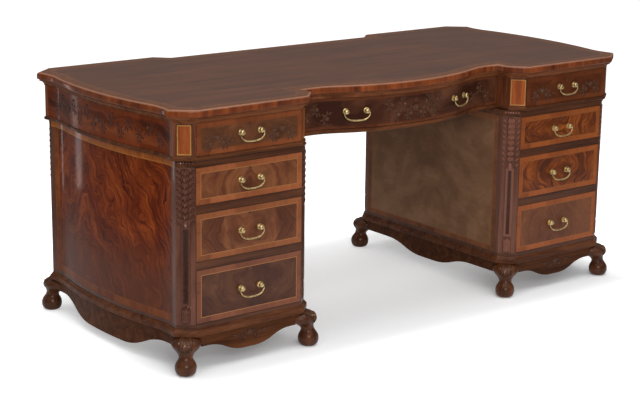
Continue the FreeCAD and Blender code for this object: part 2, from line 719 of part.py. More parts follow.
apron_hole = prism(pedestal_outline(v.apron_thickness), 0, z_carcase)
apron_region = prism(pedestal_outline(0), 0, z_carcase).cut(apron_hole)
leg_sockets = [at_corner(leg(v.leg_socket_gap), middle, angle) for middle, angle in canted_corners()]
front_middle = (float(pedestal_inner_stop) + float(pedestal_outer_stop)) / 2
front_half_span = (float(pedestal_outer_stop) - float(pedestal_inner_stop)) / 2
front_belly = belly(front_middle, v.front_apron_low, v.front_belly_half_width, v.front_rise_half_width, front_half_span)
front_face = Part.Face(wire(front_belly, lambda x, z: V(x, -FAR, z)))
side_half_span = float(pedestal_face) - v.apron_thickness
side_belly = belly(0, v.side_apron_low, v.side_belly_half_width, v.side_rise_half_width, side_half_span)
side_face = Part.Face(wire(side_belly, lambda y, z: V(0, y, z)))
inner_belly = belly(0, v.inner_apron_low, v.inner_belly_half_width, v.inner_rise_half_width, side_half_span)
inner_face = Part.Face(wire(inner_belly, lambda y, z: V(0, y, z)))
front_profile = front_face.extrude(V(0, 2 * FAR, 0))
side_profile = side_face.extrude(V(FAR, 0, 0))
inner_profile = inner_face.extrude(V(FAR, 0, 0))
apron_heights = (0, z_carcase)
apron_zones = [
    (front_profile, block((0, FAR), (-FAR, -side_half_span), apron_heights)),
    (front_profile, block((0, FAR), (side_half_span, FAR), apron_heights)),
    (inner_profile, block((0, front_middle), (-side_half_span, side_half_span), apron_heights)),
    (side_profile, block((front_middle, FAR), (-side_half_span, side_half_span), apron_heights))]
aprons = []
for profile, zone in apron_zones:
    apron = apron_region.common(zone).common(profile)
    for socket in leg_sockets:
        apron = apron.cut(socket)
    apron = max(apron.Solids, key=lambda solid: solid.Volume)
    aprons += [apron, mirrored(apron)]
shaped("aprons", Part.makeCompound(aprons))

# --------------------------------------------------------------------------- handles and locks


def handle_post(label, x, y, z, angle):
    """A rosette with its post and eye, and the bolt behind it, round the local Y axis."""
    body = doc.addObject("PartDesign::Body", label)
    back = s.front_thickness + s.bolt_end
    nothing = Size(0.0, "0")
    profile = [(nothing, back),
               (s.bolt_radius, back),
               (s.bolt_radius, nothing),
               (s.rosette_radius, nothing),
               (s.rosette_radius, s.rosette_bevel - s.rosette_thickness),
               (s.rosette_radius - s.rosette_bevel * 2, -s.rosette_thickness),
               (s.post_radius, -s.rosette_thickness),
               (s.post_radius, -s.pivot_reach),
               (nothing, -s.pivot_reach)]
    turned = body.newObject("PartDesign::Revolution", f"{label}_turned")
    outline = sketch(body, "XY_Plane", f"{label}_profile", polygons=[profile])
    turned.Profile = outline
    turned.ReferenceAxis = (outline, ["V_Axis"])
    turned.Angle = 360
    body.Tip = turned
    eye = body.newObject("PartDesign::Pad", f"{label}_eye")
    eye.Profile = sketch(body, "YZ_Plane", f"{label}_eye_ring", circles=[(-s.pivot_reach, nothing, s.eye_radius)])
    eye.Midplane = True
    bind(eye, "Length", s.eye_length)
    bore = body.newObject("PartDesign::Pocket", f"{label}_bore")
    bore.Profile = sketch(body, "YZ_Plane", f"{label}_bore_ring",
                          circles=[(-s.pivot_reach, nothing, s.bail_radius + s.pin_clearance)])
    bore.Midplane = True
    bore.Type = "ThroughAll"
    body.Tip = bore
    move(body, x, y, z, angle)
    return body


def nut(label, x, y, z, angle):
    nothing = Size(0.0, "0")
    body = padded_body(label, "XZ_Plane", s.nut_height,
                       circles=[(nothing, nothing, s.nut_radius), (nothing, nothing, s.bolt_radius)])
    move(body, x, y, z, angle)
    return body


def bail(label, x, y, z, angle):
    """A swan-necked bail that hangs from its two pins, on the local X axis."""
    body = doc.addObject("PartDesign::Body", label)
    pin_start = s.handle_spacing / 2 - s.eye_length / 2 - s.pin_end
    elbow_start = s.handle_spacing / 2 + s.eye_length / 2 + s.eye_side_gap
    leg_x = elbow_start + s.bail_elbow_radius
    grip_corner = leg_x - s.bail_corner_radius
    leg_end = s.bail_corner_radius - s.bail_drop
    nothing = Size(0.0, "0")
    right = [("line", (pin_start, nothing), (elbow_start, nothing)),
             ("arc", (elbow_start, -s.bail_elbow_radius), s.bail_elbow_radius, 0, 90),
             ("line", (leg_x, -s.bail_elbow_radius), (leg_x, leg_end)),
             ("arc", (grip_corner, leg_end), s.bail_corner_radius, -90, 0)]
    grip = ("line", (grip_corner, -s.bail_drop), (-grip_corner, -s.bail_drop))
    left = [("arc", (-grip_corner, leg_end), s.bail_corner_radius, 180, 270),
            ("line", (-leg_x, leg_end), (-leg_x, -s.bail_elbow_radius)),
            ("arc", (-elbow_start, -s.bail_elbow_radius), s.bail_elbow_radius, 90, 180),
            ("line", (-elbow_start, nothing), (-pin_start, nothing))]
    path = body.newObject("Sketcher::SketchObject", f"{label}_path")
    path.AttachmentSupport = [(origin_plane(body, "XZ_Plane"), "")]
    path.MapMode = "FlatFace"
    for kind, *values in right + [grip] + left:
        if kind == "line":
            start, end = values
            index = path.addGeometry(Part.LineSegment(*[V(float(a), float(b), 0) for a, b in values]))
            pinned = ((1, start), (2, end))
        else:
            centre, radius, from_angle, to_angle = values
            ring = Part.Circle(V(float(centre[0]), float(centre[1]), 0), V(0, 0, 1), float(radius))
            index = path.addGeometry(Part.ArcOfCircle(ring, math.radians(from_angle), math.radians(to_angle)))
            datum = path.addConstraint(Sketcher.Constraint("Radius", index, float(radius)))
            path.setExpression(f"Constraints[{datum}]", radius.text)
            pinned = ()
        for point, place in pinned:
            for constraint, size in zip(("DistanceX", "DistanceY"), place):
                datum = path.addConstraint(Sketcher.Constraint(constraint, -1, 1, index, point, float(size)))
                path.setExpression(f"Constraints[{datum}]", size.text)
    ends = ((0, 2, 1, 2), (1, 1, 2, 1), (2, 2, 3, 2), (3, 1, 4, 1),
            (4, 2, 5, 2), (5, 1, 6, 1), (6, 2, 7, 2), (7, 1, 8, 1))
    for joint in ends:
        path.addConstraint(Sketcher.Constraint("Coincident", *joint))
    section = sketch(body, "YZ_Plane", f"{label}_section", circles=[(nothing, nothing, s.bail_radius)])
    section.setExpression("AttachmentOffset.Base.z", pin_start.text)
    pipe = body.newObject("PartDesign::AdditivePipe", f"{label}_pipe")
    pipe.Profile = section
    pipe.Spine = (path, [])
    body.Tip = pipe
    move(body, x, y, z, angle)
    return keep(body, label)


def fittings(label, posts, face, x_middle, z_key, back_seat):
    """All the brass on one drawer front: posts, their nuts, the keyhole's plate and the lock."""
    nothing = Size(0.0, "0")
    pieces = []
    for index, (x, y, z, angle, nut_x, nut_y) in enumerate(posts):
        pieces.append(handle_post(f"{label}_post_{index}", x, y, z, angle))
        pieces.append(nut(f"{label}_nut_{index}", nut_x, nut_y, z, angle))
    plate = padded_body(f"{label}_plate", "XZ_Plane", s.escutcheon_height,
                        circles=[(nothing, nothing, s.escutcheon_radius), (nothing, nothing, s.keyhole_radius)])
    move(plate, x_middle, face, z_key)
    lock_back = face + s.front_thickness + back_seat
    lock = board(f"{label}_lock", (x_middle - s.lock_width / 2, x_middle + s.lock_width / 2),
                 (lock_back, lock_back + s.lock_thickness),
                 (z_key + s.lock_rise - s.lock_height, z_key + s.lock_rise))
    group(label, pieces + [plate, lock])


# --------------------------------------------------------------------------- drawers


def drawer_box(label, x, y, z_floor, opening, bottom=None):
    """Two sides, a back and a bottom board, glued up behind the front."""
    z_low = z_floor + s.slide_gap
    z_high = z_floor + opening - s.side_drop
    z_bottom = z_low + s.bottom_rise
    inner_x = (x[0] + s.side_thickness, x[1] - s.side_thickness)
    back_y = y[1] - s.side_thickness
    boards = [board(f"{label}_left", (x[0], inner_x[0]), y, (z_low, z_high)),
              board(f"{label}_right", (inner_x[1], x[1]), y, (z_low, z_high)),
              board(f"{label}_back", inner_x, (back_y, y[1]), (z_bottom + s.bottom_thickness, z_high)),
              bottom or board(f"{label}_bottom", inner_x, y, (z_bottom, z_bottom + s.bottom_thickness))]
    group(label, boards)


def flat_drawer(name, x, face, z_floor, opening, back, handle_rise):
    """A drawer with a flat front: the front, the box behind it, its brass and its bail."""
    x_middle = (x[0] + x[1]) / 2
    z_handle = z_floor + opening / 2 + handle_rise
    z_key = z_floor + opening - s.keyhole_drop
    outline = [(edge, height) for edge, height in (
        (x[0], z_floor + s.drawer_gap), (x[1], z_floor + s.drawer_gap),
        (x[1], z_floor + opening - s.drawer_gap), (x[0], z_floor + opening - s.drawer_gap))]
    post_places = [x_middle - s.handle_spacing / 2, x_middle + s.handle_spacing / 2]
    bolt_holes = [(place, z_handle, s.bolt_radius + s.bolt_clearance) for place in post_places]
    front = padded_body(f"{name}_front", "XZ_Plane", s.front_thickness, polygons=[outline],
                        circles=bolt_holes + [(x_middle, z_key, s.keyhole_radius)])
    face_y = -face
    move(front, 0, face_y + s.front_thickness, 0)
    keep(front, f"{name}_front")
    box_start = face_y + s.front_thickness
    drawer_box(f"{name}_box", x, (box_start, back), z_floor, opening)
    nut_y = box_start + s.nut_height
    posts = [(place, face_y, z_handle, None, place, nut_y) for place in post_places]
    fittings(f"{name}_fittings", posts, face_y, x_middle, z_key, Size(0.0, "0"))
    bail(f"{name}_bail", x_middle, face_y - s.pivot_reach, z_handle, None)


def opposite(pair):
    return (-pair[1], -pair[0])


pedestal_span = (pedestal_inner_stop + s.drawer_gap, pedestal_outer_stop - s.drawer_gap)
frieze_span = (frieze_inner_stop + s.drawer_gap, frieze_outer_stop - s.drawer_gap)
pedestal_drawer_back = pedestal_face - s.panel_thickness - s.pedestal_drawer_back_gap
frieze_drawer_back = partition_back - s.frieze_drawer_back_gap
for side, place in (("left", opposite), ("right", tuple)):
    flat_drawer(f"frieze_{side}_drawer", place(frieze_span), frieze_face, z_frieze, s.frieze_height,
                frieze_drawer_back, s.frieze_handle_rise)
    for row_name, z_drawer, opening in drawer_rows:
        flat_drawer(f"{side}_{row_name}_drawer", place(pedestal_span), pedestal_face, z_drawer, opening,
                    pedestal_drawer_back, s.pedestal_handle_rise)

# The wide drawer over the kneehole: its front follows the bow.
bow_radius = ((s.recess_bow_half_width * s.recess_bow_half_width + s.recess_bow * s.recess_bow) / (s.recess_bow * 2)
              - s.recess_cove_radius - s.frieze_inset)
bow_face = -recess_face - s.recess_bow
bow_centre_y = bow_face + bow_radius
handle_turn = arc_sine(s.centre_handle_distance / bow_radius)
z_centre_handle = z_frieze + s.frieze_height / 2 + s.frieze_handle_rise
z_centre_key = z_moulding - s.keyhole_drop
centre_half = kneehole_side - s.drawer_gap
seat_radius = bow_radius - s.rosette_seat


def centre_handle(side):
    """Sine and cosine of the angle at which one handle sits on the bow; side is -1 or 1."""
    sine = s.centre_handle_distance / bow_radius * side
    cosine = root(1 - sine * sine)
    return sine, cosine


centre_posts = {}
for name, side in (("left", -1), ("right", 1)):
    sine, cosine = centre_handle(side)
    turn = handle_turn * side
    along = s.handle_spacing / 2
    centre_posts[name] = []
    for step in (-1, 1):
        x = sine * seat_radius + cosine * along * step
        y = bow_centre_y - cosine * seat_radius + sine * along * step
        depth = s.front_thickness + s.nut_height
        centre_posts[name].append((x, y, z_centre_handle, turn, x - sine * depth, y + cosine * depth))

centre_shell = prism(top_outline(v.frieze_inset), z_frieze + s.drawer_gap, z_moulding - s.drawer_gap).cut(
    prism(top_outline(v.frieze_inset + v.front_thickness), z_frieze, z_moulding))
centre_front = one_solid(centre_shell.common(
    block((-centre_half, centre_half), (-FAR, -recess_face + s.front_thickness), frieze_heights)))
for name, side in (("left", -1), ("right", 1)):
    sine, cosine = (float(size) for size in centre_handle(side))
    for x, y, z, *_ in centre_posts[name]:
        seat = V(float(x), float(y), float(z))
        outwards = V(sine, -cosine, 0)
        reach = v.front_thickness
        bolt_start = seat - outwards * reach * 2
        bolt_hole = Part.makeCylinder(v.bolt_radius + v.bolt_clearance, reach * 3, bolt_start, outwards)
        flat = Part.makeCylinder(v.rosette_radius + v.rosette_seat_margin, reach, seat, outwards)
        centre_front = centre_front.cut(bolt_hole).cut(flat)
key_start = V(0, float(bow_face) - 1, float(z_centre_key))
keyhole = Part.makeCylinder(v.keyhole_radius, v.front_thickness + 2, key_start, V(0, 1, 0))
plate_seat = Part.makeCylinder(v.escutcheon_radius + v.rosette_seat_margin, 1, key_start, V(0, 1, 0))
centre_front = centre_front.cut(keyhole).cut(plate_seat)
shaped("frieze_centre_drawer_front", one_solid(centre_front))

centre_box_y = (-recess_face + s.front_thickness, frieze_drawer_back)
z_centre_bottom = z_frieze + s.slide_gap + s.bottom_rise
inner_half = centre_half - s.side_thickness
centre_bottom = doc.addObject("Part::Feature", "frieze_centre_drawer_bottom")
bottom_plan = prism(top_outline(v.frieze_inset + v.front_thickness + v.seat_gap), z_centre_bottom,
                    z_centre_bottom + s.bottom_thickness)
centre_bottom.Shape = one_solid(bottom_plan.common(
    block((-inner_half, inner_half), (-FAR, centre_box_y[1]), (z_frieze, z_moulding))))
drawer_box("frieze_centre_drawer_box", (-centre_half, centre_half), centre_box_y, z_frieze, s.frieze_height,
           centre_bottom)
fittings("frieze_centre_drawer_fittings", centre_posts["left"] + centre_posts["right"], bow_face,
         Size(0.0, "0"), z_centre_key, s.lock_seat)
for name, side in (("left", -1), ("right", 1)):
    sine, cosine = centre_handle(side)
    pivot_radius = seat_radius + s.pivot_reach
    bail(f"frieze_centre_drawer_{name}_bail", sine * pivot_radius, bow_centre_y - cosine * pivot_radius,
         z_centre_handle, handle_turn * side)

# --------------------------------------------------------------------------- check and export

doc.recompute()
for feature in doc.Objects:
    if "Invalid" in feature.State or "Error" in feature.State:
        raise ValueError(f"{feature.Label} failed: {feature.State}")
os.makedirs("parts", exist_ok=True)
for part in nodes:
    shape = part.Shape
    if shape.isNull() or not shape.isValid() or not shape.Solids:
        raise ValueError(f"{part.Label} has no valid solid")
for part in nodes:
    part.Shape.exportStep(f"parts/{part.Label}.step")
    print(f"{part.Label}: {len(part.Shape.Solids)} solids, {part.Shape.Volume / 1000:.1f} cm3")
print(len(nodes), "nodes, top at", float(z_board + s.top_thickness))
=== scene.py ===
# %% [markdown]
# # A pedestal desk with serpentine ends
# This lesson dresses a finished carcase: the boards, drawers, legs and handles are already there as solids,
# each on the body that it moves with. What is left is what an eye sees first: polished and book-matched
# veneers, bands and string lines, low carving, and brass. Each step says what the thing is on a real desk,
# and then makes it.

# %% Load the carcase
import json
import math

import bmesh
import bpy
from mathutils import Matrix, Vector
from mathutils.bvhtree import BVHTree

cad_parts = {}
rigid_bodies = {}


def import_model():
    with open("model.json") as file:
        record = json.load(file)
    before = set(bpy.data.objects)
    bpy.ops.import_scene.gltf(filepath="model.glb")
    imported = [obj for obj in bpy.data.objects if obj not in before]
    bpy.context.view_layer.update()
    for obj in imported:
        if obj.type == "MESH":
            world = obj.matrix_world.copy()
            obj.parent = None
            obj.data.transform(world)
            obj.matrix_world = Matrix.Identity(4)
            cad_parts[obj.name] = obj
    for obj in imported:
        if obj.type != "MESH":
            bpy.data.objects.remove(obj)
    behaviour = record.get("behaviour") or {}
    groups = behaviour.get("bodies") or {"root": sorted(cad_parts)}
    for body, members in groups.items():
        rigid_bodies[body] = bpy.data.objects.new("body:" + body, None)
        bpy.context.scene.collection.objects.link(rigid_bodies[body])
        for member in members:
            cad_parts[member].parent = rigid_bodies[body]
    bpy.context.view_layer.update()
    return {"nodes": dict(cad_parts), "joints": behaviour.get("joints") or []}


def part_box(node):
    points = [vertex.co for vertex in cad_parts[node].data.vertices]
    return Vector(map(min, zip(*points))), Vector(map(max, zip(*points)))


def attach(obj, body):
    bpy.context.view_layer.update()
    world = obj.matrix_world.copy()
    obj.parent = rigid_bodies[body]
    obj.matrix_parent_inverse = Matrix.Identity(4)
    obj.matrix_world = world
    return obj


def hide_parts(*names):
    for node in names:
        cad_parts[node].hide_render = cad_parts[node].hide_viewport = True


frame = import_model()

nodes = frame["nodes"]

# %% [markdown]
# ## The camera
# A long lens from a little above eye level, standing off the left-hand corner, shows the end, the front and
# the top together. Three turns aim it: about the vertical, then down, then a slight roll about its own
# axis. A small shift of the lens sets the desk in the middle of the frame.

# %% Camera
camera = bpy.data.objects.new("camera", bpy.data.cameras.new("camera"))
bpy.context.scene.collection.objects.link(camera)
camera_place = (-3.4218, -4.2216, 1.686)
turn, tilt, roll = -0.6838, math.pi / 2 - 0.2501, 0.0171
camera.matrix_world = (Matrix.Translation(camera_place) @ Matrix.Rotation(turn, 4, "Z")
                       @ Matrix.Rotation(tilt, 4, "X") @ Matrix.Rotation(roll, 4, "Z"))
camera.data.lens = 94.6
camera.data.shift_x = -0.0345
camera.data.shift_y = 0.0009
camera.data.clip_end = 60
bpy.context.scene.camera = camera
bpy.context.scene.view_settings.view_transform = "Standard"
print("camera with a lens of", camera.data.lens, "mm")

# %% [markdown]
# ## Short words for shader nodes
# Every finish here is drawn by nodes, so a few helpers keep them readable: one adds a node, one does sums,
# one mixes two colours, and one makes a node group with named sockets that several finishes can share.

# %% Node helpers


class Nodes:
    """Short words for the nodes of one tree."""

    def __init__(self, tree):
        self.tree = tree

    def feed(self, socket, value):
        if isinstance(value, bpy.types.NodeSocket):
            self.tree.links.new(value, socket)
        else:
            socket.default_value = value

    def add(self, kind, inputs=(), **settings):
        node = self.tree.nodes.new("ShaderNode" + kind)
        for name, value in settings.items():
            setattr(node, name, value)
        for name, value in dict(inputs).items():
            self.feed(node.inputs[name], value)
        return node

    def maths(self, operation, *values, clamp=False):
        node = self.add("Math", operation=operation, use_clamp=clamp)
        for socket, value in zip(node.inputs, values):
            self.feed(socket, value)
        return node.outputs[0]

    def vector(self, operation, *values):
        node = self.add("VectorMath", operation=operation)
        for socket, value in zip(node.inputs, values):
            self.feed(socket, value)
        return node.outputs["Value" if operation in ("LENGTH", "DOT_PRODUCT") else "Vector"]

    def parts(self, vector):
        return self.add("SeparateXYZ", {"Vector": vector}).outputs

    def join(self, x, y, z):
        return self.add("CombineXYZ", {"X": x, "Y": y, "Z": z}).outputs[0]

    def mix(self, factor, first, second):
        node = self.add("Mix", data_type="RGBA")
        for index, value in zip((0, 6, 7), (factor, first, second)):
            self.feed(node.inputs[index], value)
        return node.outputs[2]

    def noise(self, vector, scale, detail, roughness=0.5, distortion=0.0):
        return self.add("TexNoise", {"Vector": vector, "Scale": scale, "Detail": detail,
                                     "Roughness": roughness, "Distortion": distortion}).outputs["Fac"]

    def fade(self, value, low, high, to_low=0.0, to_high=1.0):
        node = self.add("MapRange", {"Value": value, "From Min": low, "From Max": high, "To Min": to_low,
                                     "To Max": to_high}, interpolation_type="SMOOTHSTEP")
        return node.outputs["Result"]

    def ramp(self, factor, stops):
        node = self.add("ValToRGB", {"Fac": factor})
        for index, (place, colour) in enumerate(stops):
            if index < 2:
                stop = node.color_ramp.elements[index]
                stop.position = place
            else:
                stop = node.color_ramp.elements.new(place)
            stop.color = colour
        return node.outputs["Color"]

    def effect(self, tree, **inputs):
        node = self.add("Group", node_tree=tree)
        for name, value in inputs.items():
            self.feed(node.inputs[name.replace("_", " ")], value)
        return node.outputs


# %% Groups and colours


def new_effect(name, inputs, outputs):
    """An empty node group: its tree, the words to fill it, its inputs and its output node."""
    tree = bpy.data.node_groups.new(name, "ShaderNodeTree")
    for label, kind, value in inputs:
        socket = tree.interface.new_socket(name=label, in_out="INPUT", socket_type="NodeSocket" + kind)
        if value is not None:
            socket.default_value = value
    for label, kind in outputs:
        tree.interface.new_socket(name=label, in_out="OUTPUT", socket_type="NodeSocket" + kind)
    given = tree.nodes.new("NodeGroupInput").outputs
    result = tree.nodes.new("NodeGroupOutput").inputs
    return tree, Nodes(tree), given, result


def paint(code):
    """A colour written as on a paint card, in the renderer's own linear numbers."""
    channels = [int(code[index:index + 2], 16) / 255 for index in (0, 2, 4)]
    return tuple(c / 12.92 if c < 0.04045 else ((c + 0.055) / 1.055) ** 2.4 for c in channels) + (1.0,)


print("a mid brown in linear numbers:", [round(channel, 3) for channel in paint("804020")])

# %% [markdown]
# ## Grain
# Plain mahogany shows soft streaks along the board, a finer fibre inside them, and short dark pores. All
# three are noise that is stretched along the grain: the more it is stretched, the longer the mark. The
# group takes points whose X runs along the grain, so each finish only has to turn its coordinates.

# %% Effect: grain
grain, n, given, result = new_effect("grain", [("Vector", "Vector", None), ("Stretch", "Float", 14.0)],
                                     [("Streak", "Float"), ("Fibre", "Float"), ("Pore", "Float")])
x, y, z = n.parts(given["Vector"])
across = n.join(x, n.maths("MULTIPLY", y, given["Stretch"]), n.maths("MULTIPLY", z, given["Stretch"]))
STREAKS, FIBRES, PORES = 3.2, 26, 95  # marks to a metre along the grain
n.feed(result["Streak"], n.noise(across, STREAKS, 3, 0.55, distortion=0.6))
n.feed(result["Fibre"], n.noise(across, FIBRES, 2, 0.6))
n.feed(result["Pore"], n.fade(n.noise(across, PORES, 1, 0.4), 0.66, 0.74))
print("grain group:", len(grain.nodes), "nodes")

# %% [markdown]
# ## Flame
# Veneer cut where a trunk forks shows flames: dark tongues that fan out from a seam. Leaves cut one after
# another are laid side by side as mirror images. Folding the coordinates with an absolute value gives that
# match, and a slope across the fold leans the tongues. Slow and quick noises bend them so that no two are
# alike.

# %% Effect: flame
flame, n, given, result = new_effect(
    "flame",
    [("Vector", "Vector", None), ("Lean", "Float", 1.0), ("Fold", "Float", 0.0), ("Seed", "Float", 0.0),
     ("Size", "Float", 1.0), ("Wild", "Float", 1.0)],
    [("Figure", "Float"), ("Tongue", "Float"), ("Fibre", "Float")])
x, _, z = n.parts(n.vector("DIVIDE", given["Vector"], n.join(given["Size"], given["Size"], given["Size"])))
side = n.maths("ABSOLUTE", x)
folded = n.maths("ABSOLUTE", z)
level = n.maths("ADD", n.maths("MULTIPLY", z, n.maths("SUBTRACT", 1.0, given["Fold"])),
                n.maths("MULTIPLY", folded, given["Fold"]))
flat = n.join(side, given["Seed"], level)
loose = n.join(x, given["Seed"], z)
SWAY, SWIRL = 0.2, 0.07  # how far the slow and the quick noise bend the tongues, in metres
sway = n.maths("SUBTRACT", n.noise(flat, 5, 2), 0.5)
swirl = n.maths("SUBTRACT", n.noise(n.vector("ADD", loose, (3.1, 1.7, 0.4)), 14, 3), 0.5)
bend = n.maths("ADD", n.maths("MULTIPLY", sway, SWAY), n.maths("MULTIPLY", swirl, SWIRL))
slope = n.maths("MULTIPLY", side, given["Lean"])
across = n.maths("ADD", n.maths("ADD", level, slope), n.maths("MULTIPLY", bend, given["Wild"]))
along = n.maths("SUBTRACT", side, n.maths("MULTIPLY", level, 0.6))
# Marks to a metre along and across the tongues, then the noise's detail, roughness and distortion.
flame_marks = {"Tongue": (8, 42, 4, 0.6, 0.5), "Figure": (3, 9, 3, 0.5, 0.5), "Fibre": (36, 300, 2, 0.6, 0.0)}
for label, (lengthwise, crosswise, *settings) in flame_marks.items():
    run = n.join(n.maths("MULTIPLY", along, lengthwise), given["Seed"],
                 n.maths("MULTIPLY", across, crosswise))
    n.feed(result[label], n.noise(run, 1, *settings))
print("flame group:", len(flame.nodes), "nodes")

# %% [markdown]
# ## Bands and string lines
# A band of veneer with its grain set across runs round each show face, and a thin light line of boxwood
# divides it from the flame. For a flat rectangle the distance to the nearest edge decides which is which.
# The corners are mitred: whichever side is nearer gives the direction of the band's grain. Such a band is
# laid in short strips, so each stretch of it gets a hue of its own. The rim is the dark joint at the very
# edge.

# %% Effect: band
band, n, given, result = new_effect(
    "band", [("Vector", "Vector", None), ("Half Width", "Float", 0.2), ("Half Height", "Float", 0.06),
             ("Band", "Float", 0.02), ("Line", "Float", 0.0012), ("Soft", "Float", 0.0002)],
    [("Band", "Float"), ("Line", "Float"), ("Rim", "Float"), ("Vector", "Vector"), ("Hue", "Float")])
x, _, z = n.parts(given["Vector"])
to_side = n.maths("SUBTRACT", given["Half Width"], n.maths("ABSOLUTE", x))
to_top = n.maths("SUBTRACT", given["Half Height"], n.maths("ABSOLUTE", z))
distance = n.maths("MINIMUM", to_side, to_top)
beyond = n.maths("SUBTRACT", distance, given["Band"])
n.feed(result["Band"], n.fade(beyond, n.maths("MULTIPLY", given["Soft"], -1.0), given["Soft"], 1.0, 0.0))
half_line = n.maths("MULTIPLY", given["Line"], 0.5)
n.feed(result["Line"], n.maths("LESS_THAN", n.maths("ABSOLUTE", beyond), half_line))
RIM_REACH, STRIP_LENGTH = 0.003, 0.085
n.feed(result["Rim"], n.fade(distance, 0.0, RIM_REACH, 1.0, 0.0))
over = n.maths("GREATER_THAN", to_side, to_top)  # 1 in the strips above and below, 0 in those at the sides
beside = n.maths("SUBTRACT", 1.0, over)
n.feed(result["Vector"], n.join(n.maths("ADD", n.maths("MULTIPLY", z, over), n.maths("MULTIPLY", x, beside)),
                                over,
                                n.maths("ADD", n.maths("MULTIPLY", x, over), n.maths("MULTIPLY", z, beside))))
staggered = n.join(n.maths("ADD", x, n.maths("MULTIPLY", over, 0.31)), 0.0, z)
strips = n.vector("SNAP", staggered, (STRIP_LENGTH, 1.0, STRIP_LENGTH))
n.feed(result["Hue"], n.add("TexWhiteNoise", {"Vector": strips}).outputs["Value"])
print("band group:", len(band.nodes), "nodes")

# %% [markdown]
# ## Worn edges
# On an old desk every sharp edge is slightly rounded, and rubbed paler by hands and cloths. A Bevel node
# rounds the shading of an edge without touching the mesh; where its normal leaves the real one, there is an
# edge, and that same difference is the mask for the wear.

# %% Effect: edge
edge, n, given, result = new_effect("edge", [("Radius", "Float", 0.0012)],
                                    [("Normal", "Vector"), ("Wear", "Float")])
rounded = n.add("Bevel", {"Radius": given["Radius"]}, samples=6).outputs["Normal"]
kept = n.vector("DOT_PRODUCT", rounded, n.add("NewGeometry").outputs["Normal"])
rub = n.noise(n.add("TexCoord").outputs["Object"], 38, 3, 0.6)
n.feed(result["Wear"], n.maths("MULTIPLY", n.fade(kept, 0.995, 0.86), n.fade(rub, 0.35, 0.7), clamp=True))
n.feed(result["Normal"], rounded)
print("edge group:", len(edge.nodes), "nodes")

# %% [markdown]
# ## Mahogany finishes
# French polish is a thin clear coat over the wood. The Principled shader's coat gives the sharp reflection,
# and the wood under it stays rougher and only faintly glossy, so that its colour stays deep. One function
# draws every plain mahogany part; only its colours and the direction of its grain change.

# %% Plain mahogany


def finish(name, roughness=0.45, coat=0.18, coat_roughness=0.1, gloss=0.12):
    """A polished surface: its material, the words for its nodes, its shader and its coordinates."""
    material = bpy.data.materials.new(name)
    material.use_nodes = True
    words = Nodes(material.node_tree)
    shader = material.node_tree.nodes["Principled BSDF"]
    shader.inputs["Roughness"].default_value = roughness
    shader.inputs["Specular IOR Level"].default_value = gloss
    shader.inputs["Coat Weight"].default_value = coat
    shader.inputs["Coat Roughness"].default_value = coat_roughness
    return material, words, shader, words.add("TexCoord").outputs["Object"]


GRAIN_TURNS = {"x": (0, 0, 0), "y": (0, 0, math.pi / 2), "z": (0, math.pi / 2, 0)}
pore_dark = paint("1e0e06")


def mahogany(name, dark, light, along="x", worn="9a6440", stretch=14.0, wear=0.4, mottle=0.35, upward_highlight=None,
             **polish):
    """Plain polished wood between two colours, with its grain along an axis and paler at its worn edges. An
    upward highlight is the colour of a painted highlight that it takes where its surface turns upwards."""
    material, n, shader, spot = finish(name, **polish)
    turned = n.add("Mapping", {"Vector": spot, "Rotation": GRAIN_TURNS[along]}).outputs[0]
    wood = n.effect(grain, Vector=turned, Stretch=stretch)
    tone = n.maths("ADD", n.maths("MULTIPLY", wood["Streak"], 0.75), n.maths("MULTIPLY", wood["Fibre"], 0.25))
    colour = n.ramp(tone, [(0.32, paint(dark)), (0.68, paint(light))])
    colour = n.mix(n.maths("MULTIPLY", wood["Pore"], 0.45), colour, pore_dark)
    patches = n.fade(n.noise(spot, 4.5, 3, 0.55), 0.3, 0.75)
    colour = n.mix(n.maths("MULTIPLY", patches, mottle), colour, paint(dark))
    # Painted highlight: where the surface turns upwards it takes a paler colour.
    if upward_highlight:
        upward = n.parts(n.add("NewGeometry").outputs["Normal"])[2]
        colour = n.mix(n.fade(upward, 0.35, 0.8, 0.0, 0.75), colour, paint(upward_highlight))
    worn_edge = n.effect(edge)
    colour = n.mix(n.maths("MULTIPLY", worn_edge["Wear"], wear), colour, paint(worn))
    n.feed(shader.inputs["Base Color"], colour)
    bump = n.add("Bump", {"Strength": 0.12, "Distance": 0.0006, "Height": wood["Pore"],
                          "Normal": worn_edge["Normal"]}, invert=True)
    n.feed(shader.inputs["Normal"], bump.outputs["Normal"])
    return material


carcase_wood = mahogany("carcase_mahogany", "34190c", "60361e")
upright_wood = mahogany("upright_mahogany", "3a1f15", "66402f", along="z")
post_wood = mahogany("post_mahogany", "45261b", "784c3b", along="z")
block_wood = mahogany("corner_block_mahogany", "4c2414", "844c30", along="z", worn="b8907c", wear=0.9)
moulding_wood = mahogany("moulding_mahogany", "3a1c10", "704226", worn="a8785a", wear=0.7, coat=0.06,
                         gloss=0.06)
apron_wood = mahogany("apron_mahogany", "34190a", "653a20", mottle=0.5, coat=0.03, gloss=0.04)
leg_wood = mahogany("leg_mahogany", "2c1409", "63371b", along="z", coat=0.25, coat_roughness=0.08, gloss=0.08)
for wood in (carcase_wood, upright_wood, post_wood, block_wood, moulding_wood, apron_wood, leg_wood):
    print("finish:", wood.name)

# %% [markdown]
# ## The carcase's own pieces
# A drawer rail or a back board already has its true shape, so it only needs its finish. Each kind of board
# gets the mahogany whose grain runs along it, and the drawers are lined with a paler, unpolished wood.

# %% Finishes of the carcase
lining = mahogany("drawer_lining_wood", "8a6844", "b08c60", along="y", worn="c2a57c", coat=0.0, roughness=0.7)
crown_wood = mahogany("crown_mahogany", "522a16", "925836", worn="b88a6c", wear=0.9, coat=0.03, gloss=0.04)


def dress(name, material):
    """Give a carried-over piece its finish."""
    slots = nodes[name].data.materials
    slots.clear()
    slots.append(material)


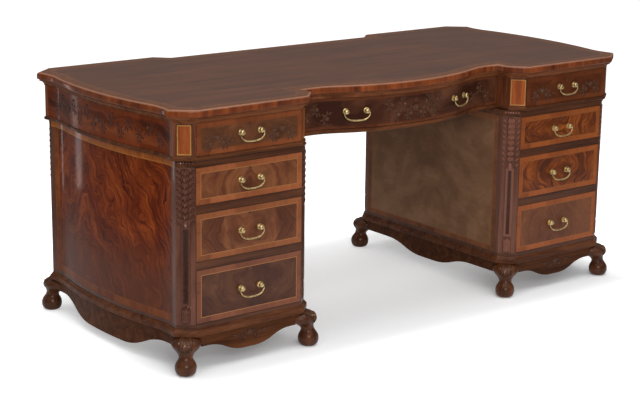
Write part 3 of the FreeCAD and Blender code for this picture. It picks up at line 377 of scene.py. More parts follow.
for name in nodes:
    dress(name, lining if name.endswith("_box") or name == "frieze_drawer_guides" else carcase_wood)
for name in ("left_back_panel", "right_back_panel"):
    dress(name, upright_wood)
dress("corner_posts", post_wood)
for name in ("frieze_corner_blocks", "frieze_partitions"):
    dress(name, block_wood)
for name in ("frieze_base_board", "plinth_mouldings"):
    dress(name, moulding_wood)
dress("top_moulding", crown_wood)
dress("aprons", apron_wood)
print("carried-over pieces with a finish:", len(nodes))

# %% [markdown]
# ## Drawer fronts and end panels
# Three drawers stand in each pedestal. Their flame is matched about a seam, and turned over again above and
# below it, so that it closes into diamonds, or into arrowheads where the seam lies at the drawer's side.
# Each front has its own seed, because no two leaves are alike. The ends carry one tall match whose seam
# stands off the middle, and towards the floor they turn a duller, greyer brown: a painted reflection of the
# floor.

# %% Banded flame veneer
joint_dark = paint("241008")


def flamed(name, centre, turn, half_size, colours, band_colours, line, seed, lean, fold=0.0, size=1.0,
           seam=(0, 0), vivid=0.55, wild=1.0, patchy=0.0, band_width=0.018, line_width=0.0022, soft=0.0002,
           painted_floor_reflection=None, rim=0.85, **polish):
    """Flame veneer with a band and a line round a rectangle that stands at a centre, turned about the
    vertical. The painted floor reflection gives two heights above that centre, and the colour of a painted
    reflection of the floor that the veneer takes below them."""
    material, n, shader, spot = finish(name, **polish)
    moved = n.add("Mapping", {"Vector": spot, "Location": tuple(-c for c in centre)}).outputs[0]
    local = n.add("Mapping", {"Vector": moved, "Rotation": (0, 0, turn)}).outputs[0]
    from_seam = n.vector("SUBTRACT", local, (seam[0], 0, seam[1]))
    figure = n.effect(flame, Vector=from_seam, Lean=lean, Fold=fold, Seed=seed, Size=size, Wild=wild)
    dark, middle, light = (paint(code) for code in colours)
    tone = n.maths("ADD", n.maths("MULTIPLY", figure["Tongue"], vivid),
                   n.maths("MULTIPLY", figure["Figure"], 1 - vivid))
    colour = n.ramp(tone, [(0.38, dark), (0.49, middle), (0.62, light)])
    cloud = n.fade(n.noise(n.vector("ADD", local, (seed, 0, seed)), 13, 3), 0.45, 0.62, 0.0, patchy)
    colour = n.mix(cloud, colour, dark)
    colour = n.mix(n.fade(figure["Fibre"], 0.35, 0.75, 0.0, 0.3), colour, dark)
    border = n.effect(band, Vector=local, Half_Width=half_size[0], Half_Height=half_size[1], Band=band_width,
                      Line=line_width, Soft=soft)
    cross = n.effect(grain, Vector=border["Vector"], Stretch=8.0)
    hue = n.maths("ADD", n.maths("MULTIPLY", cross["Streak"], 0.75), n.maths("MULTIPLY", border["Hue"], 0.25))
    banding = n.ramp(hue, [(0.25, paint(band_colours[0])), (0.7, paint(band_colours[1]))])
    colour = n.mix(border["Band"], colour, banding)
    if line:
        colour = n.mix(border["Line"], colour, paint(line))
    # A painted reflection of the floor: below the two heights the veneer turns towards a duller, greyer
    # brown.
    if painted_floor_reflection:
        low, high, shade = painted_floor_reflection
        height = n.parts(local)[2]
        sway = n.maths("MULTIPLY", n.maths("SUBTRACT", n.noise(local, 5, 2), 0.5), 0.2)
        colour = n.mix(n.fade(n.maths("ADD", height, sway), low, high, 0.75, 0.0), colour, paint(shade))
        colour = n.mix(n.maths("MULTIPLY", border["Band"], 0.45), colour, banding)
    colour = n.mix(n.maths("MULTIPLY", border["Rim"], rim), colour, joint_dark)
    n.feed(shader.inputs["Base Color"], colour)
    n.feed(shader.inputs["Normal"], n.effect(edge, Radius=0.001)["Normal"])
    return material


# %% Pedestal drawer fronts
left_flame, right_flame = ("45210f", "683820", "84502e"), ("3a1505", "74360f", "9e521a")
low_left_flame, low_right_flame = ("301910", "4c2819", "5f3a24"), ("46200e", "62341a", "764424")
bright_band, brown_band = ("723a1c", "9a5832"), ("68381c", "8e522e")
red_band, low_band = ("743814", "985022"), ("5a3020", "7c4830")
matches = {
    "left_upper": dict(seed=5, lean=1.3, seam=(0.0, -0.02), colours=left_flame, band_colours=bright_band,
                       vivid=0.4, patchy=0.4),
    "left_middle": dict(seed=11, lean=1.1, seam=(0.0, 0.0), colours=left_flame, band_colours=brown_band,
                        vivid=0.4, patchy=0.5),
    "left_lower": dict(seed=24, lean=0.9, seam=(0.03, 0.02), colours=low_left_flame, band_colours=low_band,
                       vivid=0.35, patchy=0.4),
    "right_upper": dict(seed=9, lean=1.0, seam=(0.16, 0.0), colours=right_flame, band_colours=red_band,
                        vivid=0.75, patchy=0.5),
    "right_middle": dict(seed=15, lean=1.2, seam=(0.02, 0.01), colours=right_flame, band_colours=red_band,
                         vivid=0.7, patchy=0.5),
    "right_lower": dict(seed=31, lean=1.0, seam=(-0.03, -0.01), colours=low_right_flame,
                        band_colours=red_band, vivid=0.4, patchy=0.2)}
for place, choices in matches.items():
    name = place + "_drawer_front"
    low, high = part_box(name)
    middle, half = (low + high) / 2, (high - low) / 2
    dress(name, flamed(name + "_veneer", middle, 0, (half.x, half.z), fold=1.0, wild=1.5, soft=0.0009,
                       line="9c663a" if "left" in place else "8c5024", **choices))
    print(name, "veneer", round(half.x * 2, 3), "by", round(half.z * 2, 3))

# %% End panels
END_MIDDLE_Y, END_HALF_WIDTH = -0.02, 0.352
TOP_STRIP = 0.022  # the border's upper strip lies on the edge of the board above the panel
for side, seed in (("left", 41), ("right", 46)):
    name = side + "_end_panel"
    low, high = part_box(name)
    middle = ((low.x + high.x) / 2, END_MIDDLE_Y, (low.z + high.z + TOP_STRIP) / 2)
    half = (END_HALF_WIDTH, (high.z - low.z + TOP_STRIP) / 2)
    # Towards the bottom each end takes a painted reflection of the floor, a duller, greyer brown.
    dress(name, flamed(name + "_veneer", middle, math.pi / 2, half, ("401508", "722c0c", "9c4a1b"),
                       ("5c260e", "8c4a1c"), "9c5e26", seed, lean=1.5, size=0.7, seam=(-0.12, 0), vivid=0.6,
                       wild=2.2, patchy=0.3, band_width=0.0225, line_width=0.002, rim=0.3,
                       painted_floor_reflection=(-0.15, 0.04, "522c1c"), coat=0.16, gloss=0.03))
    print(name, "veneer", half[0] * 2, "by", round(half[1] * 2, 3))

# %% [markdown]
# ## Kneehole panels
# The kneehole's side panels are duller and plainer, with a faint band. The same veneer serves: a large size
# and hardly any tongues leave a soft mottling.

# %% Veneer of the kneehole panels
for side, seed in (("left", 62), ("right", 67)):
    name = side + "_inner_panel"
    low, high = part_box(name)
    half = (high - low) / 2
    dress(name, flamed(name + "_veneer", (low + high) / 2, math.pi / 2, (half.y, half.z),
                       ("5e3f2a", "7b583e", "8c684c"), ("5c3622", "7e4e33"), "84522f", seed, lean=0.2,
                       size=2.0, vivid=0.15, patchy=0.4, soft=0.004, rim=0.3, coat=0.04, gloss=0.06))
    print(name, "veneer", round(half.y * 2, 3), "by", round(half.z * 2, 3))

# %% [markdown]
# ## Crossbanding above the ends
# The board on top of a pedestal shows its edge all round. At the serpentine end that edge is crossbanded
# over a light line and closes the end's border; elsewhere it is rail wood. One finish holds both, and the
# place on the desk decides which of them shows.

# %% Edges of the pedestal tops
END_STARTS, END_HALF_DEPTH, LINE_HEIGHT = 0.86, 0.347, 0.0012


def banded_edge(name, rail, banding, line, line_top):
    """Rail wood in front; at the serpentine ends, crossbanding over a light line."""
    material, n, shader, spot = finish(name)
    x, y, z = n.parts(spot)
    upright_spot = n.add("Mapping", {"Vector": spot, "Rotation": GRAIN_TURNS["z"]}).outputs[0]
    cross, straight = n.effect(grain, Vector=upright_spot, Stretch=8.0), n.effect(grain, Vector=spot)
    at_end = n.maths("MINIMUM", n.maths("GREATER_THAN", n.maths("ABSOLUTE", x), END_STARTS),
                     n.maths("LESS_THAN", n.maths("ABSOLUTE", y), END_HALF_DEPTH))
    hue = n.maths("ADD", n.maths("MULTIPLY", cross["Streak"], 0.6), n.maths("MULTIPLY", cross["Fibre"], 0.4))
    band_tone = n.ramp(hue, [(0.3, paint(banding[0])), (0.65, paint(banding[1]))])
    band_tone = n.mix(n.maths("LESS_THAN", z, line_top), band_tone, paint(line))
    rail_tone = n.ramp(straight["Streak"], [(0.32, paint(rail[0])), (0.68, paint(rail[1]))])
    n.feed(shader.inputs["Base Color"], n.mix(at_end, rail_tone, band_tone))
    n.feed(shader.inputs["Normal"], n.effect(edge)["Normal"])
    return material


low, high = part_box("pedestal_tops")
dress("pedestal_tops", banded_edge("pedestal_top_edges", ("34190c", "60361e"), ("7c3a12", "b4662a"), "bc7c34",
                                   low.z + LINE_HEIGHT))
print("crossbanding from level", round(low.z, 3), "to", round(high.z, 3))

# %% [markdown]
# ## The frieze
# The frieze is quieter: a brown ground for the carving, with hardly any figure, inside a narrow, soft-edged
# strip of slightly redder wood. Each part has a ground of its own, because old veneer fades unevenly.

# %% Frieze fronts and ends
dark_ground, red_ground = ("371c12", "5a3524", "744a34"), ("431c0d", "703319", "8a4824")
left_ground, right_ground = ("422616", "69402a", "865234"), ("3c1b0d", "603018", "784020")
FRIEZE_END_HALF_WIDTH = 0.36


def frieze_veneer(name, turn, half_width, ground, strip_width, strip_colours):
    """Quiet veneer with a soft-edged strip of redder wood. Its seed follows its width."""
    low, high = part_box(name)
    half_size = (half_width, (high.z - low.z) / 2)
    dress(name, flamed(name + "_veneer", (low + high) / 2, turn, half_size, ground, strip_colours, None,
                       half_width * 60, lean=0.1, size=2.2, band_width=strip_width, soft=0.005, rim=0.5,
                       coat=0.1, gloss=0.05))
    print(name, "strip", strip_width, "wide")


for side in ("left", "right"):
    frieze_veneer(f"frieze_end_{side}", math.pi / 2, FRIEZE_END_HALF_WIDTH, red_ground, 0.015,
                  ("62280f", "7e3a1a"))
for side, ground, strip_colours in (("left", left_ground, ("64321a", "844828")),
                                    ("right", right_ground, ("522713", "6e391d"))):
    low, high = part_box(f"frieze_{side}_drawer_front")
    frieze_veneer(f"frieze_{side}_drawer_front", 0, (high.x - low.x) / 2, ground, 0.016, strip_colours)
low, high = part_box("frieze_centre_drawer_front")
frieze_veneer("frieze_centre_drawer_front", 0, high.x, dark_ground, 0.008, ("502818", "6c3c24"))

# %% [markdown]
# ## Shapes made with mesh operators
# A bmesh holds a piece while it is made. The helper below turns one into an object that stays where it was
# modelled, rides on a body, and is shaded smooth up to a sharp angle.

# %% From a bmesh to a piece


def made(name, shape, body, *materials, sharp=35, closed=True):
    """A finished piece from its bmesh."""
    if closed:
        bmesh.ops.recalc_face_normals(shape, faces=shape.faces)
    print(name, "has", len(shape.verts), "points")
    mesh = bpy.data.meshes.new(name)
    shape.to_mesh(mesh)
    shape.free()
    mesh.shade_smooth()
    mesh.set_sharp_from_angle(angle=math.radians(sharp))
    for material in materials:
        mesh.materials.append(material)
    thing = bpy.data.objects.new(name, mesh)
    bpy.context.scene.collection.objects.link(thing)
    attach(thing, body)
    return thing


# %% [markdown]
# ## The top
# The board's shape is right already, but its show face has a crossbanded border. A copy of the board keeps
# that shape. Its flat upper triangles are dissolved into a single face, and that face is inset twice: once
# for the border and once for the string line. Between the two, corners that the first inset has crowded
# together are merged. Each ring of faces then gets its own finish, and only the nose round the edge is
# shaded smooth.

# %% Top board with its border
top_wood = mahogany("top_field_mahogany", "42230f", "62351b", stretch=9.0, worn="7b5a4e", mottle=0.5,
                    roughness=0.5, coat=0.3, coat_roughness=0.2, gloss=0.2)
top_band = mahogany("top_band_mahogany", "4a2815", "784828", along="z", stretch=30.0, worn="a8806c")
top_line = mahogany("top_string_line", "6e4e38", "8a6850")
# The nose's upward highlight is painted: a pale pinkish colour where the nose turns upwards.
nose_wood = mahogany("nose_crossbanding", "481b0a", "984d22", along="z", stretch=9.0, worn="c09078", wear=0.8,
                     upward_highlight="8f6650")
FIELD, NOSE, BORDER, STRING = range(4)  # places of the four finishes
BORDER_WIDTH, STRING_WIDTH, CROWDED = 0.034, 0.0016, 0.004
board = bmesh.new()
board.from_mesh(nodes["top_board"].data)
bmesh.ops.remove_doubles(board, verts=board.verts, dist=1e-5)
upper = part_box("top_board")[1].z
flat = [face for face in board.faces if face.normal.z > 0.999 and face.calc_center_median().z > upper - 1e-5]
field = bmesh.ops.dissolve_faces(board, faces=flat)["region"]
print("top field faces", len(field), "corners", len(field[0].verts))
nose = set(board.faces) - set(field)
border = bmesh.ops.inset_region(board, faces=field, thickness=BORDER_WIDTH, use_even_offset=True)["faces"]
bmesh.ops.remove_doubles(board, verts=field[0].verts, dist=CROWDED)
string = bmesh.ops.inset_region(board, faces=field, thickness=STRING_WIDTH, use_even_offset=True)["faces"]
for finish_place, faces in ((FIELD, field), (NOSE, nose), (BORDER, border), (STRING, string)):
    for face in faces:
        face.material_index = finish_place
top_piece = made("banded_top", board, "desk", top_wood, nose_wood, top_band, top_line, sharp=50, closed=False)
for polygon in top_piece.data.polygons:
    polygon.use_smooth = polygon.material_index == NOSE
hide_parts("top_board")

# %% [markdown]
# ## Canted corners
# The canted faces come in fours, mirrored from one pedestal and from front to back. What stands on them is
# drawn flat and then stood up on the face. Several copies share one bmesh, so each point carries a mark
# that says whether it is placed yet.

# %% Standing a flat pattern on a face


def facing(place, across):
    """The frame of an upright face: X runs across it to a viewer's right, Y up it, and Z out of it."""
    across, up = Vector(across).normalized(), Vector((0, 0, 1))
    turn = Matrix((across, up, across.cross(up))).transposed().to_4x4()
    return Matrix.Translation(place) @ turn


def blank():
    """An empty shape whose points can keep their height above the ground, and whether they are placed yet."""
    shape = bmesh.new()
    shape.verts.layers.float.new("relief")
    shape.verts.layers.int.new("placed")
    return shape


def fresh(shape):
    """The points added to a shape since this was last asked."""
    placed = shape.verts.layers.int["placed"]
    points = [vert for vert in shape.verts if not vert[placed]]
    for vert in points:
        vert[placed] = 1
    return points


# Middles of the right-hand half's front canted faces, and the direction across them to a viewer's right.
FRIEZE_CANTS = {"outer": (0.8631, -0.3783), "inner": (0.4431, -0.3799)}
POST_CANTS = {"outer": (0.8565, -0.3720), "inner": (0.4310, -0.3690)}
ACROSS_CANT = {"outer": (0.7831, 0.6219), "inner": (0.7071, -0.7071)}


def four_ways(cants, which):
    """One canted face and the way across it, at the right front, left front, left back and right back."""
    (x, y), (u, v) = cants[which], ACROSS_CANT[which]
    return [((x, y), (u, v)), ((-x, y), (u, -v)), ((-x, -y), (-u, -v)), ((x, -y), (-u, v))]


for which in FRIEZE_CANTS:
    print(which, "cants of the frieze at", [place for place, _ in four_ways(FRIEZE_CANTS, which)])

# %% [markdown]
# ## Corner panels
# Each canted corner of the frieze carries a small panel of bright satinwood inside a yellow line and a dark
# frame. It is a thin leaf: a grid scaled to size, two borders made by insets, and a rim pulled back so that
# it meets the wood.

# %% Satinwood corner panels
satin = mahogany("satinwood", "753210", "b3602d", along="z", stretch=12.0, wear=0.2, mottle=0.2)
frame_wood = mahogany("corner_frame_wood", "2c150c", "4a2715", along="z")
string_wood = mahogany("string_boxwood", "9c6630", "c08848", worn="d0a070")
PANEL_WIDTHS, PANEL_HEIGHT, PANEL_LEVEL = {"outer": 0.045, "inner": 0.054}, 0.091, 0.691
PROUD, RIM_DEPTH = 0.0006, 0.0008
panel_borders = ((1, 0.0022), (2, 0.0036))  # the frame and the line: the finish's place, and the width
panels = blank()
for which, width in PANEL_WIDTHS.items():
    for (x, y), (u, v) in four_ways(FRIEZE_CANTS, which):
        corners = bmesh.ops.create_grid(panels, x_segments=1, y_segments=1, size=0.5)["verts"]
        bmesh.ops.scale(panels, vec=(width, PANEL_HEIGHT, 1), verts=corners)
        face = corners[0].link_faces[:]
        for finish_place, thickness in panel_borders:
            around = bmesh.ops.inset_region(panels, faces=face, thickness=thickness, use_even_offset=True,
                                            use_boundary=True)["faces"]
            for part in around:
                part.material_index = finish_place
        rim = [e for e in {e for vert in corners for e in vert.link_edges} if e.is_boundary]
        sides = bmesh.ops.extrude_edge_only(panels, edges=rim)["geom"]
        lowered = [part for part in sides if isinstance(part, bmesh.types.BMVert)]
        bmesh.ops.translate(panels, vec=(0, 0, -RIM_DEPTH), verts=lowered)
        stand = facing((x, y, PANEL_LEVEL), (u, v, 0)) @ Matrix.Translation((0, 0, PROUD))
        bmesh.ops.transform(panels, matrix=stand, verts=fresh(panels))
corner_panels = made("frieze_corner_panels", panels, "desk", satin, frame_wood, string_wood, closed=False)

# %% [markdown]
# ## Carving
# Low carving is built from one element, a leaf: a small grid whose rows follow an arc and narrow to both
# ends, raised in the middle and grooved along its rib. Short, broad leaves round a boss make a flower; a
# long, narrow one bent nearly to a circle is a scrolling stem. Each point keeps its own height as an
# attribute, so that the finish can be dark in the hollows and rubbed pale on the tops, which is also painted
# shade and painted highlight.

# %% A leaf and a boss
TIP_WIDTH = 0.04  # a leaf's tips keep this share of its width
EDGE_SUNK = 0.0004  # its edges lie this far under the ground


def leaf(shape, at, heading, length, width, curl, rise, rib=0.5, rows=6, taper=0.7, hand=1):
    """A carved leaf that grows from a point in a direction, in the plane of its face, and bends by its curl.
    Angles are in radians. A hand of -1 mirrors it."""
    grid = bmesh.ops.create_grid(shape, x_segments=4, y_segments=rows, size=0.5)["verts"]
    for vert in grid:
        side, along = vert.co.x * 2, vert.co.y + 0.5
        angle = heading + curl * along
        if abs(curl) > 1e-3:
            radius = length / curl
            place = Vector((radius * (math.sin(angle) - math.sin(heading)),
                            radius * (math.cos(heading) - math.cos(angle)), 0))
        else:
            place = Vector((math.cos(heading), math.sin(heading), 0)) * length * along
        swell = max(0.0, math.sin(math.pi * min(1.0, along ** taper))) ** 0.75
        off = Vector((-math.sin(angle), math.cos(angle), 0)) * -side * width / 2 * (swell + TIP_WIDTH)
        crown = (1 - side * side) * (0.35 + 0.65 * swell) - rib * (abs(side) < 0.1)
        spot = place + off
        vert.co = (at[0] + hand * spot.x, at[1] + spot.y, rise * crown - EDGE_SUNK * abs(side) ** 4)
    if hand < 0:
        bmesh.ops.reverse_faces(shape, faces=list({face for vert in grid for face in vert.link_faces}))


def boss(shape, at, radius, height):
    """A small round button."""
    place = Matrix.Translation((at[0], at[1], 0)) @ Matrix.Diagonal((1, 1, height / radius, 1))
    bmesh.ops.create_uvsphere(shape, u_segments=10, v_segments=6, radius=radius, matrix=place)


# %% Flowers and scrolls
FIRST_PETAL = 0.3


def flower(shape, at, radius, petals, rise):
    """Short, broad leaves in a ring, round a boss."""
    for index in range(petals):
        heading = FIRST_PETAL + index * math.tau / petals
        leaf(shape, at, heading, radius, radius * 0.85, 0.25, rise, rows=4, taper=0.6)
    boss(shape, at, radius * 0.24, rise * 1.3)


# The leaves on a stem's back: how far along it, how they spread from it, and how far they reach.
stem_leaves = ((0.04, 1.1, 0.9), (0.14, 0.9, 0.8), (0.24, -0.9, 0.5), (0.34, 0.9, 0.8), (0.46, -1.0, 0.45),
               (0.56, 0.9, 0.8), (0.72, 0.8, 0.7), (0.86, 0.8, 0.5))


def scroll(shape, at, size, hand, flip, rise):
    """A stem that curls round a flower, with leaves along its back. It grows to the right for a hand of 1,
    and rises and curls down for a flip of 1; -1 turns either round."""
    start = 0.75 * flip
    curl, length = -4.3 * flip, 3.5 * size
    leaf(shape, at, start, length, size * 0.2, curl, rise * 0.8, rib=0.0, rows=14, taper=0.9, hand=hand)
    radius = length / curl
    centre = (at[0] - hand * radius * math.sin(start), at[1] + radius * math.cos(start))
    flower(shape, centre, size * 0.58, 6, rise)
    for along, spread, reach in stem_leaves:
        angle = start + curl * along
        spot = (at[0] + hand * radius * (math.sin(angle) - math.sin(start)),
                at[1] + radius * (math.cos(start) - math.cos(angle)))
        leaf(shape, spot, angle + spread * flip, size * reach, size * 0.44, 1.2 * flip, rise, rows=5,
             hand=hand)


def running_scroll(shape, from_x, to_x, size, rise, spacing=1.6):
    """Scrolls in a row that curl up and down in turn, away from a flower in the middle."""
    middle = (from_x + to_x) / 2
    flower(shape, (middle, 0), size * 0.7, 8, rise)
    count = max(1, round((to_x - from_x) / 2 / (size * spacing)))
    step = (to_x - from_x) / 2 / (count + 0.35)
    for hand in (-1, 1):
        for index in range(count):
            flip = 1 if index % 2 == 0 else -1
            place = (middle + hand * (size * 0.55 + index * step), -flip * size * 0.25)
            scroll(shape, place, size, hand, flip, rise)


# %% [markdown]
# ## Finish of the carving
# Dirt and old polish gather in the hollows of a carving, and hands rub its tops. The height kept with each
# point picks a colour from dark to pale, a noise breaks that up, and specks of wear lie on the highest
# parts only. The dark of the hollows is also painted shade, and the pale tops and specks are also painted
# highlights.

# %% Finish of the carving


def carved_finish(name, hollow, ground, top, speck, tallest, painted_light_colour=None):
    """Wood that is dark in the hollows of the carving and pale on its tops, by the height kept with each
    point: dirt and wear, and also painted shade in the hollows and painted highlights on the tops. On the
    right-hand half of the desk it leans towards a lighter colour, painted light, where one is given."""
    material, n, shader, spot = finish(name, roughness=0.45, coat=0.22, coat_roughness=0.14, gloss=0.1)
    relief = n.maths("DIVIDE", n.add("Attribute", attribute_name="relief").outputs["Fac"], tallest)
    patchy = n.maths("MULTIPLY", n.maths("SUBTRACT", n.noise(spot, 120, 3, 0.6), 0.5), 0.5)
    tone = n.maths("ADD", relief, patchy)
    # Dark hollows and pale tops: dirt and wear, and also painted shade and painted highlights.
    colour = n.ramp(tone, [(0.05, paint(hollow)), (0.4, paint(ground)), (0.95, paint(top))])
    # Pale specks on the highest parts: wear, and also painted highlights.
    worn_and_highlit = n.maths("MULTIPLY", n.fade(relief, 0.6, 0.95), n.fade(n.noise(spot, 60, 2), 0.52, 0.66))
    colour = n.mix(worn_and_highlit, colour, paint(speck))
    # Painted light: the right-hand half of the desk leans towards a lighter colour, as if more light fell
    # there.
    if painted_light_colour:
        painted_light_on_right = n.fade(n.parts(spot)[0], -0.1, 0.3, 0.0, 0.6)
        colour = n.mix(n.maths("MULTIPLY", painted_light_on_right, n.fade(relief, 0.05, 0.4)), colour, paint(painted_light_colour))
    n.feed(shader.inputs["Base Color"], colour)
    n.feed(shader.inputs["Normal"], n.effect(edge, Radius=0.0006)["Normal"])
    return material


frieze_carved = carved_finish("frieze_carving", "351d12", "53321f", "6c4832", "a8927a", 0.0024)
end_carved = carved_finish("end_carving", "36180c", "532817", "63351e", "a08470", 0.0018)
print("finishes of the frieze's carving:", frieze_carved.name, end_carved.name)

# %% [markdown]
# ## Carving on the frieze
# Each pattern is drawn flat and then pressed on to its face, which may be curved. A ray from every point
# finds the place on the face below it, and the point keeps its height above that place, along the face's
# own normal.

# %% Pressing a pattern on to a piece
surfaces = {}  # a search tree of each piece that carving lies on, made when it is first needed


def lay_on(verts, frame_of_face, thing, reach=0.06):
    """Press a flat pattern on to a piece: X and Y become places on the face, and Z the height above it."""
    if thing.name not in surfaces:
        bpy.context.view_layer.update()
        surfaces[thing.name] = BVHTree.FromObject(thing, bpy.context.evaluated_depsgraph_get())
    out = (frame_of_face.to_3x3() @ Vector((0, 0, 1))).normalized()
    for vert in verts:
        start = frame_of_face @ Vector((vert.co.x, vert.co.y, reach))
        hit, normal, _, _ = surfaces[thing.name].ray_cast(start, -out, reach * 4)
        if hit is None:
            hit, normal = start - out * reach, out
        vert.co = hit + normal * vert.co.z


def keep_relief(shape, verts):
    """Note every point's height above the flat ground, before the pattern is pressed on to its face."""
    layer = shape.verts.layers.float["relief"]
    for vert in verts:
        vert[layer] = vert.co.z


def carving(name, body, thing, frame_of_face, fill, material):
    """A carved piece drawn flat by a function and pressed on to a face."""
    shape = blank()
    fill(shape)
    keep_relief(shape, shape.verts)
    lay_on(shape.verts, frame_of_face, thing)
    piece = made(name, shape, body, material, sharp=60, closed=False)


# %% Scrolls on the frieze
FRIEZE_MIDDLE = 0.6915
BEYOND_END, BOW_Y = 0.92, -0.36  # where the flat patterns for the two curved faces stand
HANDLE_X = 0.116


def along_the_end(shape):
    running_scroll(shape, -0.32, 0.32, size=0.018, rise=0.0014, spacing=2.5)


def beside_handle(shape):
    for hand in (-1, 1):
        middle = hand * HANDLE_X
        running_scroll(shape, middle - 0.044, middle + 0.044, size=0.0185, rise=0.0019)
        leaf(shape, (hand * 0.070, -0.012), math.pi, 0.020, 0.010, 0.5, 0.0018, rows=5, hand=hand)


def wide_drawer(shape):
    running_scroll(shape, -0.105, 0.105, size=0.0185, rise=0.0018)
    for hand in (-1, 1):
        for x, flip in ((0.290, 1), (0.325, -1), (0.360, 1)):
            scroll(shape, (hand * x, -0.006 * flip), 0.016, hand, flip, 0.0018)


for side, sign in (("left", -1), ("right", 1)):
    carving(f"{side}_end_scrolls", "desk", nodes[f"frieze_end_{side}"],
            facing((sign * BEYOND_END, 0, FRIEZE_MIDDLE), (0, sign, 0)), along_the_end, end_carved)
    name = f"frieze_{side}_drawer"
    low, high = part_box(name + "_front")
    carving(name + "_scrolls", name, nodes[name + "_front"],
            facing(((low.x + high.x) / 2, low.y, FRIEZE_MIDDLE), (1, 0, 0)), beside_handle, frieze_carved)
carving("frieze_centre_drawer_scrolls", "frieze_centre_drawer", nodes["frieze_centre_drawer_front"],
        facing((0, BOW_Y, FRIEZE_MIDDLE), (1, 0, 0)), wide_drawer, frieze_carved)

# %% [markdown]
# ## Pilasters
# Each canted corner post is dressed with a small pilaster: a bead row for a capital, a fall of leaves, then
# a sunk groove between two rounded ribs, and leaves again at the foot. The groove is made from one raised
# bar whose top is inset and pushed back down, and a bevel rounds all its edges.

# %% Ribs and beads
GROOVE_DEPTH, ROUNDING = 0.85, 0.7  # as shares of the bar's height


def rib_panel(shape, low, high, half_width, rib, height):
    """A bar with a sunk middle: two rounded ribs joined at their ends."""
    place = (Matrix.Translation((0, (low + high) / 2, 0))
             @ Matrix.Diagonal((half_width * 2, high - low, height * 2, 1)))
    corners = bmesh.ops.create_cube(shape, size=1, matrix=place)["verts"]
    face = [f for f in {f for vert in corners for f in vert.link_faces} if f.normal.z > 0.9]
    bmesh.ops.inset_region(shape, faces=face, thickness=rib, use_even_offset=True)
    sunk = list({v for f in face for v in f.verts})
    bmesh.ops.translate(shape, vec=(0, 0, -height * GROOVE_DEPTH), verts=sunk)
    proud = [v for v in set(corners) | {e.other_vert(v) for v in sunk for e in v.link_edges}
             if abs(v.co.z - height) < 1e-6]
    rims = [e for e in {e for v in proud for e in v.link_edges} if all(v in proud for v in e.verts)]
    bmesh.ops.bevel(shape, geom=rims, affect="EDGES", offset=height * ROUNDING, segments=3, profile=0.5,
                    material=-1)


def beads(shape, half_width, z, radius):
    """A row of round beads."""
    count = round(half_width * 2 / (radius * 2.1))
    for index in range(count):
        x = (index - (count - 1) / 2) * half_width * 2 / count
        boss(shape, (x, z), radius, radius * 1.25)


# %% Leaves of a pilaster
DOWN, UP = -math.pi / 2, math.pi / 2
FALL_TOP, SIDES_TOP, FALL_STEP = 0.606, 0.604, 0.0185
FALL_ROWS, SIDE_ROWS = 8, 9


def fall_of_leaves(shape, half_width):
    """Leaves that hang in rows down the middle, between a smaller row along each edge."""
    for hand in (-1, 1):
        for index in range(SIDE_ROWS):
            leaf(shape, (hand * half_width * 0.95, SIDES_TOP - index * FALL_STEP), -1.9, 0.020, 0.009, -0.9,
                 0.004, rib=0.4, rows=5, hand=hand)
    for index in range(FALL_ROWS):
        z, size = FALL_TOP - index * FALL_STEP, 0.030 - index * 0.0008
        for hand in (-1, 1):
            leaf(shape, (hand * 0.0015, z), -0.85, size * 0.85, size * 0.46, -0.9, 0.0046, hand=hand)
        leaf(shape, (0, z - 0.003), DOWN, size * 0.8, size * 0.42, 0, 0.0055, taper=0.8)


def pilaster(shape, half_width):
    rib_panel(shape, low=0.203, high=0.436, half_width=0.0135, rib=0.0095, height=0.0036)
    fall_of_leaves(shape, half_width)
    boss(shape, (0, 0.441), 0.0085, 0.004)
    leaf(shape, (0, 0.456), DOWN, 0.020, 0.015, 0, 0.0048, rib=0.4)
    for z in (0.147, 0.160, 0.174):
        for hand in (-1, 1):
            leaf(shape, (hand * 0.003, z), 0.95, 0.026, 0.013, 0.8, 0.0042, hand=hand)
        leaf(shape, (0, z), UP, 0.030, 0.013, 0, 0.005, taper=0.75)
    beads(shape, half_width * 0.9, 0.6235, 0.0040)


# %% Pilasters on the corner posts
pilasters = blank()
for which, half_width in (("outer", 0.027), ("inner", 0.028)):
    for (x, y), (u, v) in four_ways(POST_CANTS, which):
        pilaster(pilasters, half_width)
        newest = fresh(pilasters)
        keep_relief(pilasters, newest)
        bmesh.ops.transform(pilasters, matrix=facing((x, y, 0), (u, v, 0)), verts=newest)
# Its last colour is painted light on the right-hand half of the desk.
pilaster_wood = carved_finish("pilaster_carving", "2a140d", "4c2a1e", "6e4436", "b8988c", 0.0048, "875644")
pilaster_piece = made("carved_pilasters", pilasters, "desk", pilaster_wood, sharp=60, closed=False)

# %% [markdown]
# ## Legs
# A short leg swells to a knee, draws in to an ankle, and spreads to a round foot. Rings of the right radius
# are bridged from the floor up, and a subdivision surface smooths them. Leaves fall over the knee from a
# row of beads.

